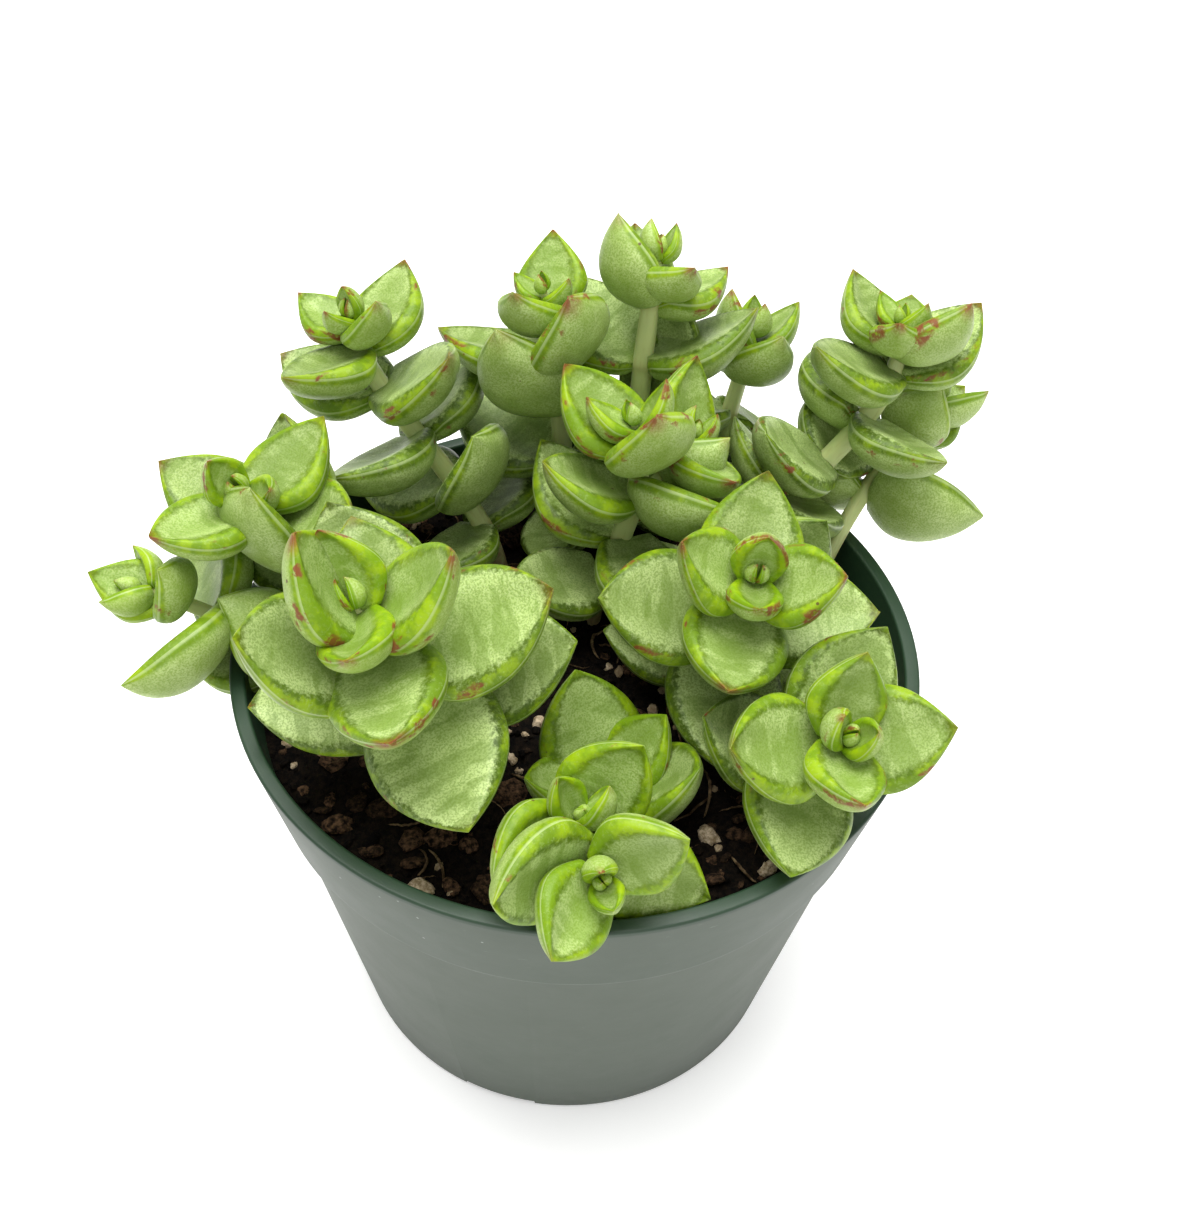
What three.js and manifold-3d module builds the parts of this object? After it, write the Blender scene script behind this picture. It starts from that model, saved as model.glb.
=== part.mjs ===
// A potted crassula: a green nursery pot, the potting mix that fills it, and the leafy stems
// that grow out of the mix. Every stem carries opposite pairs of thick pointed leaves, each pair
// a quarter turn from the next, and ends in a small bud.
// Units are millimetres and +Z is up. The origin is the middle of the pot's underside.

import * as THREE from 'three';
import { mergeVertices } from 'three/addons/utils/BufferGeometryUtils.js';
import Module from 'manifold-3d';

const wasm = await Module();
wasm.setup();

// Pot
const POT_HEIGHT = 80;
const RIM_RADIUS = 54;
const RIM_INNER_RADIUS = 51.6;
const RIM_ROUNDING = 0.5;
const COLLAR_BOTTOM = 60.5;
const COLLAR_BOTTOM_RADIUS = 50.2;
const COLLAR_STEP = 1.3;
const BASE_RADIUS = 39.5;
const BASE_ROUNDING = 1.2;
const WALL = 1.6;
const FOOT_INNER_RADIUS = 34;
const PAD_RADIUS = 14;
const GROOVE_DEPTH = 2;
const GROOVE_SLOPE = 0.8;
const POT_SEGMENTS = 40;
const DRAIN_HOLES = 8;
const DRAIN_RADIUS = 4;
const DRAIN_RING_RADIUS = 24;
const DRAIN_SIDES = 8;
const FOOT_NOTCHES = 4;
const NOTCH_WIDTH = 13;
const NOTCH_HEIGHT = 2;
const NOTCH_TURN = -106;

// Potting mix
const MIX_TOP = 70.5;
const MIX_GAP = 0.35;
const MIX_SEGMENTS = 26;
const MIX_RINGS = 4;
const MIX_RELIEF = 0.6;
const MIX_WAVES = [
  { x: 0.13, y: 0.09, start: 1.1, share: 0.4 },
  { x: -0.1, y: 0.12, start: 2.6, share: 0.3 },
  { x: 0.37, y: -0.31, start: 2, share: 0.3 },
];
const MIX_EDGE_DIP = 0.5;
const GRAINS = 11;
const GRAIN_MIN = 1.3;
const GRAIN_MAX = 3.2;
const GRAIN_FLATNESS = [0.5, 0.8];
const GRAIN_NARROWNESS = [0.6, 1];
const GRAIN_PROUD = 0.32;
const GRAIN_PROUDEST = 1.1;
const GRAIN_FIELD = 46;
const GRAIN_FOOT_CLEAR = 6;
const GRAIN_SEED = 20;
const DRAW_FACTOR = 1664525;
const DRAW_STEP = 1013904223;
const DRAW_RANGE = 2 ** 32;

// Stems and leaves
const STEM_RADIUS = 1.7;
const STEM_TIP_RADIUS = 0.35;
const STEM_TAPER_POWER = 10;
const STEM_SIDES = 6;
const STEM_STEPS = 7;
const STEM_DEPTH = 5;
const STEM_RISE = 0.4;
const STEM_HOLD = 0.35;
const LEAF_CURL = 0.1;
const LEAF_SEAT = 0.25;
const LEAF_LENGTHS = [3, 8, 14, 18, 24];
const LEAF_WIDTH_RATIOS = [0.66, 0.78, 0.86, 0.86, 0.77];
const LEAF_THICK_RATIOS = [0.46, 0.43, 0.39, 0.36, 0.31];
const LEAF_DISH = 0.03;
const LEAF_MARGIN_DROP = 0.3;
const LEAF_WIDEST = 0.4;
const LEAF_TAPER_POWERS = [1.7, 1.7, 1.75, 2, 2.5];
const LEAF_BASE_WIDTH = 0.5;
const LEAF_OFFSET = 0.2;
const LEAF_ROLL = 5;
const LEAF_LENGTH_SPREAD = 0.04;
const LEAF_UPPER_SPAN = 1.36;
const LEAF_CHINE = 0.88;
const LEAF_CHINE_SPAN = 1.1;
const LEAF_ROOT_DROP = 0.4;
const WOBBLE_STEPS = [12.9898, 78.233, 37.719];
const SMALL_LEAF = 6.6;
const MEDIUM_LEAF = 9;
const LARGE_LEAF = 20.2;

// Clearance sweeps
const SWEEPS = 48;
const LEAF_CLEARANCE = 0.5;
const MIX_CLEARANCE = 1.8;
const RIM_BEAD = 1.5;
const STEM_POINTS = 28;
const YOUNG_SOFTNESS = 0.15;
const SOFTNESS_STEP = 0.18;
const TURN_GAIN = 1.32;
const LARGEST_TURN = 0.08;
const SMALLEST_ARM = 0.25;
const LARGEST_BALL = 3.5;
const CUT_CLEARANCE = 0.3;

const TINY = 1e-6;
const MERGE_DISTANCE = 1e-4;

// Each shoot: where it leaves the mix, or with a height where it leaves another shoot, where its bud
// stands, the way the bud leans (compass, degrees from upright), the compass of its first pair and its
// girth as a share of the stoutest. A row gives a pair's distance below the bud, its leaf length, how
// far its two leaves open from the stem, and its twist from the quarter turn.
const STEMS = [
  {
    name: 'stem_front_left',
    foot: [-21, -11.4], bud: [-29, -26.4, 113], lean: [163, 23], turn: 188, girth: 1,
    pairs: [
      [0.4, 5, 16, 16, 0], [1.7, 13.5, 84, 20, -2], [3.8, 19, 14, 70, -7], [8, 20.6, 84, 92, 8],
      [12.5, 23.8, 46, 90, 8], [18, 25, 96, 84, 18], [23, 23.4, 100, 88, 2], [31, 20, 92, 88, 12],
    ],
  },
  {
    name: 'stem_front_right',
    foot: [21, 2], bud: [24.5, -12.2, 106.9], lean: [-76, 19], turn: 176, girth: 1,
    pairs: [
      [0.3, 4, 14, 14, 0], [1.4, 10, 57, 20, -1], [3.6, 14.5, 59, 58, -4], [7.3, 18, 77, 86, -3],
      [13, 21.3, 86, 97, 7], [22, 24, 92, 80, 6], [31, 18, 94, 90, 0],
    ],
  },
  {
    name: 'stem_right_low',
    foot: [31, -19], bud: [36.5, -34.4, 99.4], lean: [-57, 28], turn: -97, girth: 1,
    pairs: [
      [0.3, 3.4, 12, 12, 0], [1.4, 8, 20, 35, -14], [3.4, 13.9, 56, 62, 4], [7, 18.5, 61, 76, 15],
      [13, 20.2, 81, 83, -9], [21, 17, 90, 80, 0],
    ],
  },
  {
    name: 'stem_left',
    foot: [-36, 6.5], bud: [-50.5, 3.8, 104.7], lean: [-118, 22], turn: 242, girth: 1,
    pairs: [
      [0.3, 4.5, 16, 16, 0], [1.4, 9.5, 61, 20, 6], [3.6, 16.3, 74, 93, -14], [8, 17, 90, 97, 14],
      [15, 20, 40, 66, -5], [24, 18, 84, 84, 0], [32, 16, 88, 88, 0],
    ],
  },
  {
    name: 'stem_back_left',
    foot: [-13.6, 24.3], bud: [-37.2, 32, 117.3], lean: [-113, 7], turn: 148, girth: 1,
    pairs: [
      [0.3, 3.2, 12, 12, 0], [1.4, 6.6, 51, 10, 0], [3.6, 11.5, 81, 53, -4], [7.2, 17.6, 77, 80, 2],
      [15, 20.4, 69, 89, 2], [25, 21, 76, 80, 0], [35, 20, 84, 70, -4], [44, 16, 90, 90, 0],
    ],
  },
  {
    name: 'stem_back_middle',
    foot: [-3.4, 31.8], bud: [-7.4, 37.8, 119.5], lean: [158, 13], turn: 66, girth: 1,
    pairs: [
      [0.5, 3.5, 17, 17, 0], [2, 6.6, 59, 60, -3], [4.5, 13.6, 55, 58, 4], [11.5, 18.7, 83, 63, -3],
      [20.5, 21, 80, 80, 3], [31, 21, 88, 88, 0], [40, 16, 94, 94, 0],
    ],
  },
  {
    name: 'stem_back_right',
    foot: [9.2, 41.1], bud: [10.6, 43.6, 123.2], lean: [76, 33], turn: 116, girth: 1,
    pairs: [
      [0.4, 3.2, 13, 13, 0], [1.5, 6.5, 29, 29, 0], [4, 12.1, 67, 83, -2], [8, 15.7, 67, 80, 7],
      [18.5, 21, 84, 74, 39], [28, 20, 90, 90, 20], [38, 17, 94, 94, 0],
    ],
  },
  {
    name: 'stem_middle',
    foot: [2, 14], bud: [7.2, 15, 112.2], lean: [150, 20], turn: 118, girth: 1,
    pairs: [
      [0.5, 4, 18, 18, 0], [2, 9.8, 50, 48, -24], [5, 17.1, 58, 62, 6], [13.5, 17.5, 75, 100, -9],
      [23, 20, 84, 84, 0], [32, 17, 92, 92, 0],
    ],
  },
  {
    name: 'stem_right',
    foot: [28.5, 29], bud: [49.4, 36.4, 117.2], lean: [115, 20], turn: 42, girth: 1,
    pairs: [
      [0.3, 3, 22, 22, 0], [1.2, 6.7, 55, 55, -5], [2.6, 11.3, 83, 74, 33], [4.8, 15.3, 63, 55, -1],
      [9, 19, 93, 89, -11], [18, 19.1, 100, 86, -10], [28, 20.2, 88, 91, -8], [36, 16, 90, 88, 0],
    ],
  },
  {
    name: 'stem_front',
    foot: [-5, -31.9], bud: [1.4, -41.2, 89.3], lean: [-73, 21], turn: 228, girth: 0.9,
    pairs: [
      [0.3, 3, 8, 8, 0], [1.3, 8.5, 27, 45, 9], [5, 16.5, 118, 60, 4], [10, 14, 88, 84, -150],
    ],
  },
  {
    name: 'stem_front',
    foot: [-1.7, -35.9, 78.6], bud: [4.3, -52.1, 90.3], lean: [-85, 40], turn: 41, girth: 0.85,
    pairs: [
      [0.3, 3, 10, 10, 0], [1.1, 6.5, 30, 34, -21], [2.8, 13.9, 68, 55, -1], [6.5, 17.5, 94, 94, 23],
    ],
  },
  {
    name: 'stem_far_left',
    foot: [-41, -5], bud: [-66.5, -3, 90.7], lean: [184, 66], turn: -20, girth: 0.7,
    pairs: [
      [0.4, 4, 14, 14, 0], [2.2, 8.2, 66, 40, 10], [5, 13, 84, 14, -1], [13, 20.5, 76, 72, 5],
      [25, 17, 60, 60, 0],
    ],
  },
  {
    name: 'stem_far_back',
    foot: [21, 38], bud: [28, 51, 105], lean: [60, 14], turn: 20, girth: 0.85,
    pairs: [
      [0.4, 3.2, 12, 12, 0], [1.5, 6.5, 28, 28, 0], [4, 11, 50, 50, 0], [8, 14, 66, 66, 0],
      [16, 16, 84, 84, 0], [25, 15, 90, 90, 0],
    ],
  },
  {
    name: 'stem_far_right',
    foot: [38, 16], bud: [59, 44, 98], lean: [40, 40], turn: -10, girth: 0.75,
    pairs: [
      [0.4, 3.2, 12, 12, 0], [1.5, 6.5, 28, 28, 0], [4, 12, 50, 50, 0], [9, 15, 66, 66, 0],
      [20, 20, 74, 80, 0],
    ],
  },
  {
    name: 'stem_centre_low',
    foot: [6, -24], bud: [5, -26, 79], lean: [-90, 15], turn: 35, girth: 0.85,
    pairs: [
      [0.3, 3, 12, 12, 0], [1.4, 6.5, 30, 30, 0], [3.2, 14, 60, 62, 0], [6, 19, 84, 84, 0],
    ],
  },
  {
    name: 'stem_middle',
    foot: [6.2, 13.5, 89.4], bud: [17, 20, 106], lean: [20, 10], turn: 85, girth: 0.75,
    pairs: [
      [0.4, 3, 12, 12, 0], [1.4, 6, 26, 26, 0], [3, 14.4, 52, 94, 43], [8, 13.2, 60, 46, -60],
    ],
  },
];

const UP = new THREE.Vector3(0, 0, 1);
const COMPASS = new THREE.Vector3(1, 0, 0);
const degrees = THREE.MathUtils.degToRad;

// Closed meshes and solids
function toSolid(geometry) {
  const bare = geometry.clone();
  bare.deleteAttribute('normal');
  bare.deleteAttribute('uv');
  const merged = mergeVertices(bare, MERGE_DISTANCE);
  const mesh = new wasm.Mesh({
    numProp: 3,
    vertProperties: new Float32Array(merged.attributes.position.array),
    triVerts: new Uint32Array(merged.index.array),
  });
  return new wasm.Manifold(mesh);
}

function toGeometry(solid) {
  const mesh = solid.getMesh();
  const geometry = new THREE.BufferGeometry();
  geometry.setAttribute('position', new THREE.BufferAttribute(mesh.vertProperties, 3));
  geometry.setIndex(new THREE.BufferAttribute(mesh.triVerts, 1));
  geometry.computeVertexNormals();
  return geometry;
}

// The largest body of a solid: sealed hollows are filled and loose scraps are dropped.
function largestBody(solid) {
  const bodies = solid.decompose();
  return bodies.reduce((best, body) => (body.volume() > best.volume() ? body : best));
}

function reshape(geometry, move) {
  const position = geometry.attributes.position;
  const point = new THREE.Vector3();
  for (let i = 0; i < position.count; i += 1) {
    point.fromBufferAttribute(position, i);
    move(point, i);
    position.setXYZ(i, point.x, point.y, point.z);
  }
  return geometry;
}

// A lathe profile is given as [radius, height] and turned round the Z axis.
function turned(profile, segments) {
  const points = profile.map(([radius, height]) => new THREE.Vector2(radius, height));
  return new THREE.LatheGeometry(points, segments).rotateX(Math.PI / 2);
}

function interpolate(value, stops, results) {
  const last = stops.length - 1;
  if (value <= stops[0]) return results[0];
  if (value >= stops[last]) return results[last];
  const next = stops.findIndex((stop) => stop > value);
  const share = (value - stops[next - 1]) / (stops[next] - stops[next - 1]);
  return results[next - 1] + share * (results[next] - results[next - 1]);
}

// Pot
function outerRadius(height) {
  const bodyTop = COLLAR_BOTTOM_RADIUS - COLLAR_STEP;
  const stops = [BASE_ROUNDING, COLLAR_BOTTOM, POT_HEIGHT];
  if (height < COLLAR_BOTTOM) return interpolate(height, stops, [BASE_RADIUS, bodyTop, bodyTop]);
  return interpolate(height, [COLLAR_BOTTOM, POT_HEIGHT], [COLLAR_BOTTOM_RADIUS, RIM_RADIUS]);
}

function makePot() {
  const floorTop = GROOVE_DEPTH + WALL;
  const bodyTop = COLLAR_BOTTOM_RADIUS - COLLAR_STEP;
  const profile = [
    [0, 0],
    [PAD_RADIUS, 0],
    [PAD_RADIUS + GROOVE_SLOPE, GROOVE_DEPTH],
    [FOOT_INNER_RADIUS - GROOVE_SLOPE, GROOVE_DEPTH],
    [FOOT_INNER_RADIUS, 0],
    [BASE_RADIUS - BASE_ROUNDING, 0],
    [BASE_RADIUS, BASE_ROUNDING],
    [bodyTop, COLLAR_BOTTOM - RIM_ROUNDING],
    [COLLAR_BOTTOM_RADIUS, COLLAR_BOTTOM],
    [RIM_RADIUS, POT_HEIGHT - RIM_ROUNDING],
    [RIM_RADIUS - RIM_ROUNDING, POT_HEIGHT],
    [RIM_INNER_RADIUS + RIM_ROUNDING, POT_HEIGHT],
    [RIM_INNER_RADIUS, POT_HEIGHT - RIM_ROUNDING],
    [COLLAR_BOTTOM_RADIUS - WALL, COLLAR_BOTTOM + WALL],
    [bodyTop - WALL, COLLAR_BOTTOM - RIM_ROUNDING],
    [outerRadius(floorTop) - WALL, floorTop],
    [0, floorTop],
  ];
  let pot = toSolid(turned(profile, POT_SEGMENTS));
  for (let i = 0; i < DRAIN_HOLES; i += 1) {
    const angle = (i / DRAIN_HOLES) * 2 * Math.PI;
    const hole = new THREE.CylinderGeometry(DRAIN_RADIUS, DRAIN_RADIUS, 4 * WALL, DRAIN_SIDES);
    hole.rotateX(Math.PI / 2).translate(DRAIN_RING_RADIUS, 0, floorTop - WALL).rotateZ(angle);
    pot = pot.subtract(toSolid(hole));
  }
  for (let i = 0; i < FOOT_NOTCHES; i += 1) {
    const angle = degrees(NOTCH_TURN) + (i / FOOT_NOTCHES) * 2 * Math.PI;
    const reach = BASE_RADIUS - FOOT_INNER_RADIUS + 4 * GROOVE_SLOPE;
    const notch = new THREE.BoxGeometry(reach, NOTCH_WIDTH, 2 * NOTCH_HEIGHT);
    notch.translate((BASE_RADIUS + FOOT_INNER_RADIUS) / 2, 0, 0).rotateZ(angle);
    pot = pot.subtract(toSolid(notch));
  }
  return pot;
}

// Seeded draws for the grains of the mix
function drawsFrom(seed) {
  let state = seed;
  return () => {
    state = (state * DRAW_FACTOR + DRAW_STEP) % DRAW_RANGE;
    return state / DRAW_RANGE;
  };
}

function mixHeight(x, y) {
  const edge = Math.max(0, Math.hypot(x, y) - GRAIN_FIELD) / (RIM_INNER_RADIUS - GRAIN_FIELD);
  let height = MIX_TOP - MIX_EDGE_DIP * edge;
  for (const wave of MIX_WAVES) {
    height += MIX_RELIEF * wave.share * Math.sin(wave.x * x + wave.y * y + wave.start);
  }
  return height;
}

function between([low, high], share) {
  return low + (high - low) * share;
}

function grain(draw) {
  const size = between([GRAIN_MIN, GRAIN_MAX], draw() ** 2);
  const shape = new THREE.IcosahedronGeometry(size, 0);
  shape.scale(1, between(GRAIN_NARROWNESS, draw()), between(GRAIN_FLATNESS, draw()));
  shape.rotateZ(2 * Math.PI * draw());
  const reach = GRAIN_FIELD * Math.sqrt(draw());
  const angle = 2 * Math.PI * draw();
  const x = reach * Math.cos(angle);
  const y = reach * Math.sin(angle);
  const nearFoot = STEMS.some(({ foot }) => Math.hypot(x - foot[0], y - foot[1]) < GRAIN_FOOT_CLEAR);
  shape.computeBoundingBox();
  const proud = Math.min(GRAIN_PROUDEST, GRAIN_PROUD * size) - shape.boundingBox.max.z;
  shape.translate(x, y, mixHeight(x, y) + proud);
  return nearFoot ? null : shape;
}

function makeMix() {
  const floorTop = GROOVE_DEPTH + WALL;
  const inner = (height) => outerRadius(height) - WALL - MIX_GAP;
  const topRadius = interpolate(
    MIX_TOP,
    [COLLAR_BOTTOM + WALL, POT_HEIGHT - RIM_ROUNDING],
    [COLLAR_BOTTOM_RADIUS - WALL, RIM_INNER_RADIUS],
  ) - MIX_GAP;
  const profile = [
    [0, floorTop + MIX_GAP],
    [inner(floorTop + MIX_GAP), floorTop + MIX_GAP],
    [inner(COLLAR_BOTTOM - 2 * RIM_ROUNDING), COLLAR_BOTTOM - 2 * RIM_ROUNDING],
    [COLLAR_BOTTOM_RADIUS - WALL - 2 * MIX_GAP, COLLAR_BOTTOM + WALL],
  ];
  for (let ring = MIX_RINGS; ring >= 0; ring -= 1) {
    profile.push([(topRadius * ring) / MIX_RINGS, MIX_TOP]);
  }
  const body = turned(profile, MIX_SEGMENTS);
  reshape(body, (point) => {
    if (point.z > MIX_TOP - 1) point.z = mixHeight(point.x, point.y);
  });
  let mix = toSolid(body);
  const draw = drawsFrom(GRAIN_SEED);
  for (let i = 0; i < GRAINS; i += 1) {
    const shape = grain(draw);
    if (shape) mix = mix.add(toSolid(shape));
  }
  return mix;
}

// Stems
function directionOf([compass, fromUpright]) {
  const flat = Math.sin(degrees(fromUpright));
  const x = flat * Math.cos(degrees(compass));
  const y = flat * Math.sin(degrees(compass));
  return new THREE.Vector3(x, y, Math.cos(degrees(fromUpright)));
}

function stemCurve({ foot, bud, lean }) {
  const start = new THREE.Vector3(foot[0], foot[1], foot[2] ?? MIX_TOP - STEM_DEPTH);
  const end = new THREE.Vector3(...bud);
  const reach = start.distanceTo(end);
  const rise = start.clone().addScaledVector(UP, STEM_RISE * reach);
  const hold = end.clone().addScaledVector(directionOf(lean), -STEM_HOLD * reach);
  return new THREE.CubicBezierCurve3(start, rise, hold, end);
}

// The cross directions of a stem where it runs along a tangent: east follows the compass.
function crossOf(tangent) {
  const east = COMPASS.clone().addScaledVector(tangent, -COMPASS.dot(tangent)).normalize();
  const north = new THREE.Vector3().crossVectors(tangent, east);
  return { east, north };
}

function stemTube(curve, girth, swell) {
  const tube = new THREE.CylinderGeometry(1, 1, 1, STEM_SIDES, STEM_STEPS);
  return reshape(tube, (point) => {
    const share = point.y + 0.5;
    const tangent = curve.getTangent(share);
    const { east, north } = crossOf(tangent);
    const taper = 1 - share ** STEM_TAPER_POWER;
    const radius = STEM_TIP_RADIUS + (girth * STEM_RADIUS - STEM_TIP_RADIUS) * taper + swell;
    const centre = curve.getPoint(share).addScaledVector(tangent, (share < 0.5 ? -swell : swell));
    const { x, z } = point;
    point.copy(centre).addScaledVector(north, x * radius).addScaledVector(east, z * radius);
  });
}

// Leaves

// A fixed draw between -1 and 1 for each pair of whole numbers
function wobble(a, b) {
  const [stepA, stepB, start] = WOBBLE_STEPS;
  return Math.sin(stepA * a + stepB * b + start);
}

// Half the width of a leaf along its length, as a share of its widest half width. A higher taper
// gives a rounder leaf with a shorter tip.
function outline(along, taper) {
  if (along < LEAF_WIDEST) {
    const share = along / LEAF_WIDEST;
    return LEAF_BASE_WIDTH + (1 - LEAF_BASE_WIDTH) * Math.sin((share * Math.PI) / 2);
  }
  const share = (along - LEAF_WIDEST) / (1 - LEAF_WIDEST);
  return 1 - share ** taper;
}

// The depth of a leaf along its length, as a share of its thickness.
function bulge(along) {
  return interpolate(along, [0, 0.15, 0.4, 0.7, 0.9, 1], [0.55, 0.82, 1, 0.84, 0.45, 0.05]);
}

function leavesOf(stem, stemIndex, curve) {
  const length = curve.getLength();
  const leaves = [];
  stem.pairs.forEach(([drop, leafLength, openFirst, openSecond, twist], rank) => {
    const share = curve.getUtoTmapping(0, length - drop);
    const node = curve.getPoint(share);
    const tangent = curve.getTangent(share);
    const { east, north } = crossOf(tangent);
    [openFirst, openSecond].forEach((open, side) => {
      const vary = wobble(stemIndex + 1, 2 * rank + side);
      const compass = degrees(stem.turn + twist + 90 * (rank % 2) + 180 * side);
      const outward = east.clone().multiplyScalar(Math.cos(compass));
      outward.addScaledVector(north, Math.sin(compass));
      const along = tangent.clone().multiplyScalar(Math.cos(degrees(open)));
      along.addScaledVector(outward, Math.sin(degrees(open)));
      const face = tangent.clone().multiplyScalar(Math.sin(degrees(open)));
      face.addScaledVector(outward, -Math.cos(degrees(open)));
      face.applyAxisAngle(along, degrees(LEAF_ROLL) * vary);
      const across = new THREE.Vector3().crossVectors(along, face);
      const frame = new THREE.Matrix4().makeBasis(across, along, face);
      const size = leafLength * (1 + LEAF_LENGTH_SPREAD * wobble(2 * rank + side, stemIndex + 1));
      leaves.push({
        stemIndex,
        rank,
        root: node.clone().addScaledVector(outward, LEAF_OFFSET),
        attitude: new THREE.Quaternion().setFromRotationMatrix(frame),
        length: size,
        width: size * interpolate(size, LEAF_LENGTHS, LEAF_WIDTH_RATIOS),
        thick: size * interpolate(size, LEAF_LENGTHS, LEAF_THICK_RATIOS),
        taper: interpolate(size, LEAF_LENGTHS, LEAF_TAPER_POWERS),
      });
    });
  });
  return leaves;
}

const LARGE_STATIONS = [1, 0.9, 0.68, 0.4, 0.12, 0];
const MEDIUM_STATIONS = [1, 0.84, 0.46, 0.12, 0];
const SMALL_STATIONS = [1, 0.78, 0.38, 0];
const LEAF_SIDES = 6;
const SMALL_LEAF_SIDES = 4;

function stationsOf(leaf) {
  if (leaf.length < MEDIUM_LEAF) return SMALL_STATIONS;
  return leaf.length < LARGE_LEAF ? MEDIUM_STATIONS : LARGE_STATIONS;
}

// A leaf is a ball drawn out along its length: flat and slightly dished above, keeled below. Swell
// thickens it on every side, to take its room out of its neighbours.
function leafGeometry(leaf, swell) {
  const stations = stationsOf(leaf);
  const sides = leaf.length < SMALL_LEAF ? SMALL_LEAF_SIDES : LEAF_SIDES;
  const shape = new THREE.SphereGeometry(1, sides, stations.length - 1);
  const columns = sides + 1;
  reshape(shape, (point, i) => {
    const row = Math.floor(i / columns);
    const along = stations[row];
    const angle = (-2 * Math.PI * (i % columns)) / sides;
    const pole = row === 0 || row === stations.length - 1;
    const half = pole ? 0 : 0.5 * leaf.width * outline(along, leaf.taper) + swell;
    const depth = leaf.thick * bulge(along);
    const side = Math.cos(angle);
    const upper = Math.sin(angle) > TINY;
    const under = Math.sin(angle) < -TINY;
    const keel = Math.abs(side) < TINY;
    const reach = leaf.length * along + (along > LEAF_WIDEST ? swell : -swell);
    let height = LEAF_SEAT * leaf.thick + (LEAF_CURL * reach * reach) / leaf.length;
    if (pole) height -= along === 0 ? LEAF_ROOT_DROP * leaf.thick : 0;
    else if (upper) height += swell - LEAF_DISH * depth;
    else if (under) height -= (keel ? 1 : LEAF_CHINE) * depth + swell;
    else height += 0.5 * swell - LEAF_MARGIN_DROP * depth;
    let across = half * side;
    if (upper) across *= LEAF_UPPER_SPAN;
    if (under) across *= LEAF_CHINE_SPAN;
    point.set(across, reach, height);
  });
  return shape.applyQuaternion(leaf.attitude).translate(leaf.root.x, leaf.root.y, leaf.root.z);
}

// Spheres that fill a leaf, in its own frame, for the clearance sweeps
const ALONG_GRID = [0.18, 0.36, 0.54, 0.72, 0.9];
const ACROSS_GRID = [-0.78, -0.4, 0, 0.4, 0.78];

function fillSpheres(leaf) {
  const spheres = [];
  for (const along of ALONG_GRID) {
    for (const across of ACROSS_GRID) {
      const depth = leaf.thick * bulge(along) * Math.sqrt(1 - across * across);
      const lift = LEAF_CURL * leaf.length * along * along + LEAF_SEAT * leaf.thick;
      const x = across * 0.5 * leaf.width * outline(along, leaf.taper);
      const at = new THREE.Vector3(x, along * leaf.length, lift - 0.5 * depth);
      spheres.push({ at, radius: 0.5 * depth });
    }
  }
  return spheres;
}

class Push {
  constructor(leaf) {
    this.leaf = leaf;
    this.torque = new THREE.Vector3();
    this.inertia = 0;
    this.softness = YOUNG_SOFTNESS + SOFTNESS_STEP * leaf.rank;
    this.fill = fillSpheres(leaf);
    this.points = this.fill.map(() => new THREE.Vector3());
    this.middle = new THREE.Vector3();
    this.reach = 0;
  }

  settle() {
    this.torque.set(0, 0, 0);
    this.inertia = 0;
    this.middle.set(0, 0, 0);
    this.points.forEach((point, i) => {
      point.copy(this.fill[i].at).applyQuaternion(this.leaf.attitude).add(this.leaf.root);
      this.middle.addScaledVector(point, 1 / this.points.length);
    });
    this.reach = LARGEST_BALL + Math.max(...this.points.map((point) => point.distanceTo(this.middle)));
  }

  add(i, shift) {
    const arm = this.points[i].clone().sub(this.leaf.root);
    this.torque.add(new THREE.Vector3().crossVectors(arm, shift));
    this.inertia += arm.lengthSq();
  }

  turn() {
    const least = (SMALLEST_ARM * this.leaf.length) ** 2;
    const spin = this.torque.clone().multiplyScalar(TURN_GAIN / Math.max(this.inertia, least));
    const angle = spin.length();
    if (angle < TINY) return;
    const step = new THREE.Quaternion();
    step.setFromAxisAngle(spin.divideScalar(angle), Math.min(angle, LARGEST_TURN));
    this.leaf.attitude.premultiply(step);
  }
}

function pushLeaves(a, b) {
  if (a.middle.distanceTo(b.middle) > a.reach + b.reach) return;
  const share = a.softness / (a.softness + b.softness);
  for (let i = 0; i < a.points.length; i += 1) {
    for (let j = 0; j < b.points.length; j += 1) {
      const room = a.fill[i].radius + b.fill[j].radius + LEAF_CLEARANCE;
      const apart = a.points[i].distanceTo(b.points[j]);
      if (apart < room) {
        const shift = a.points[i].clone().sub(b.points[j]);
        shift.multiplyScalar((room - apart) / Math.max(apart, TINY));
        a.add(i, shift.clone().multiplyScalar(share));
        b.add(j, shift.multiplyScalar(share - 1));
      }
    }
  }
}

function pushFromStem(leaf, stemPoints) {
  for (const stemPoint of stemPoints) {
    if (leaf.middle.distanceTo(stemPoint) < leaf.reach + STEM_RADIUS) {
      leaf.points.forEach((point, i) => {
        const room = leaf.fill[i].radius + STEM_RADIUS + LEAF_CLEARANCE;
        const apart = point.distanceTo(stemPoint);
        if (apart < room) {
          const shift = point.clone().sub(stemPoint);
          leaf.add(i, shift.multiplyScalar((room - apart) / Math.max(apart, TINY)));
        }
      });
    }
  }
}

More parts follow.
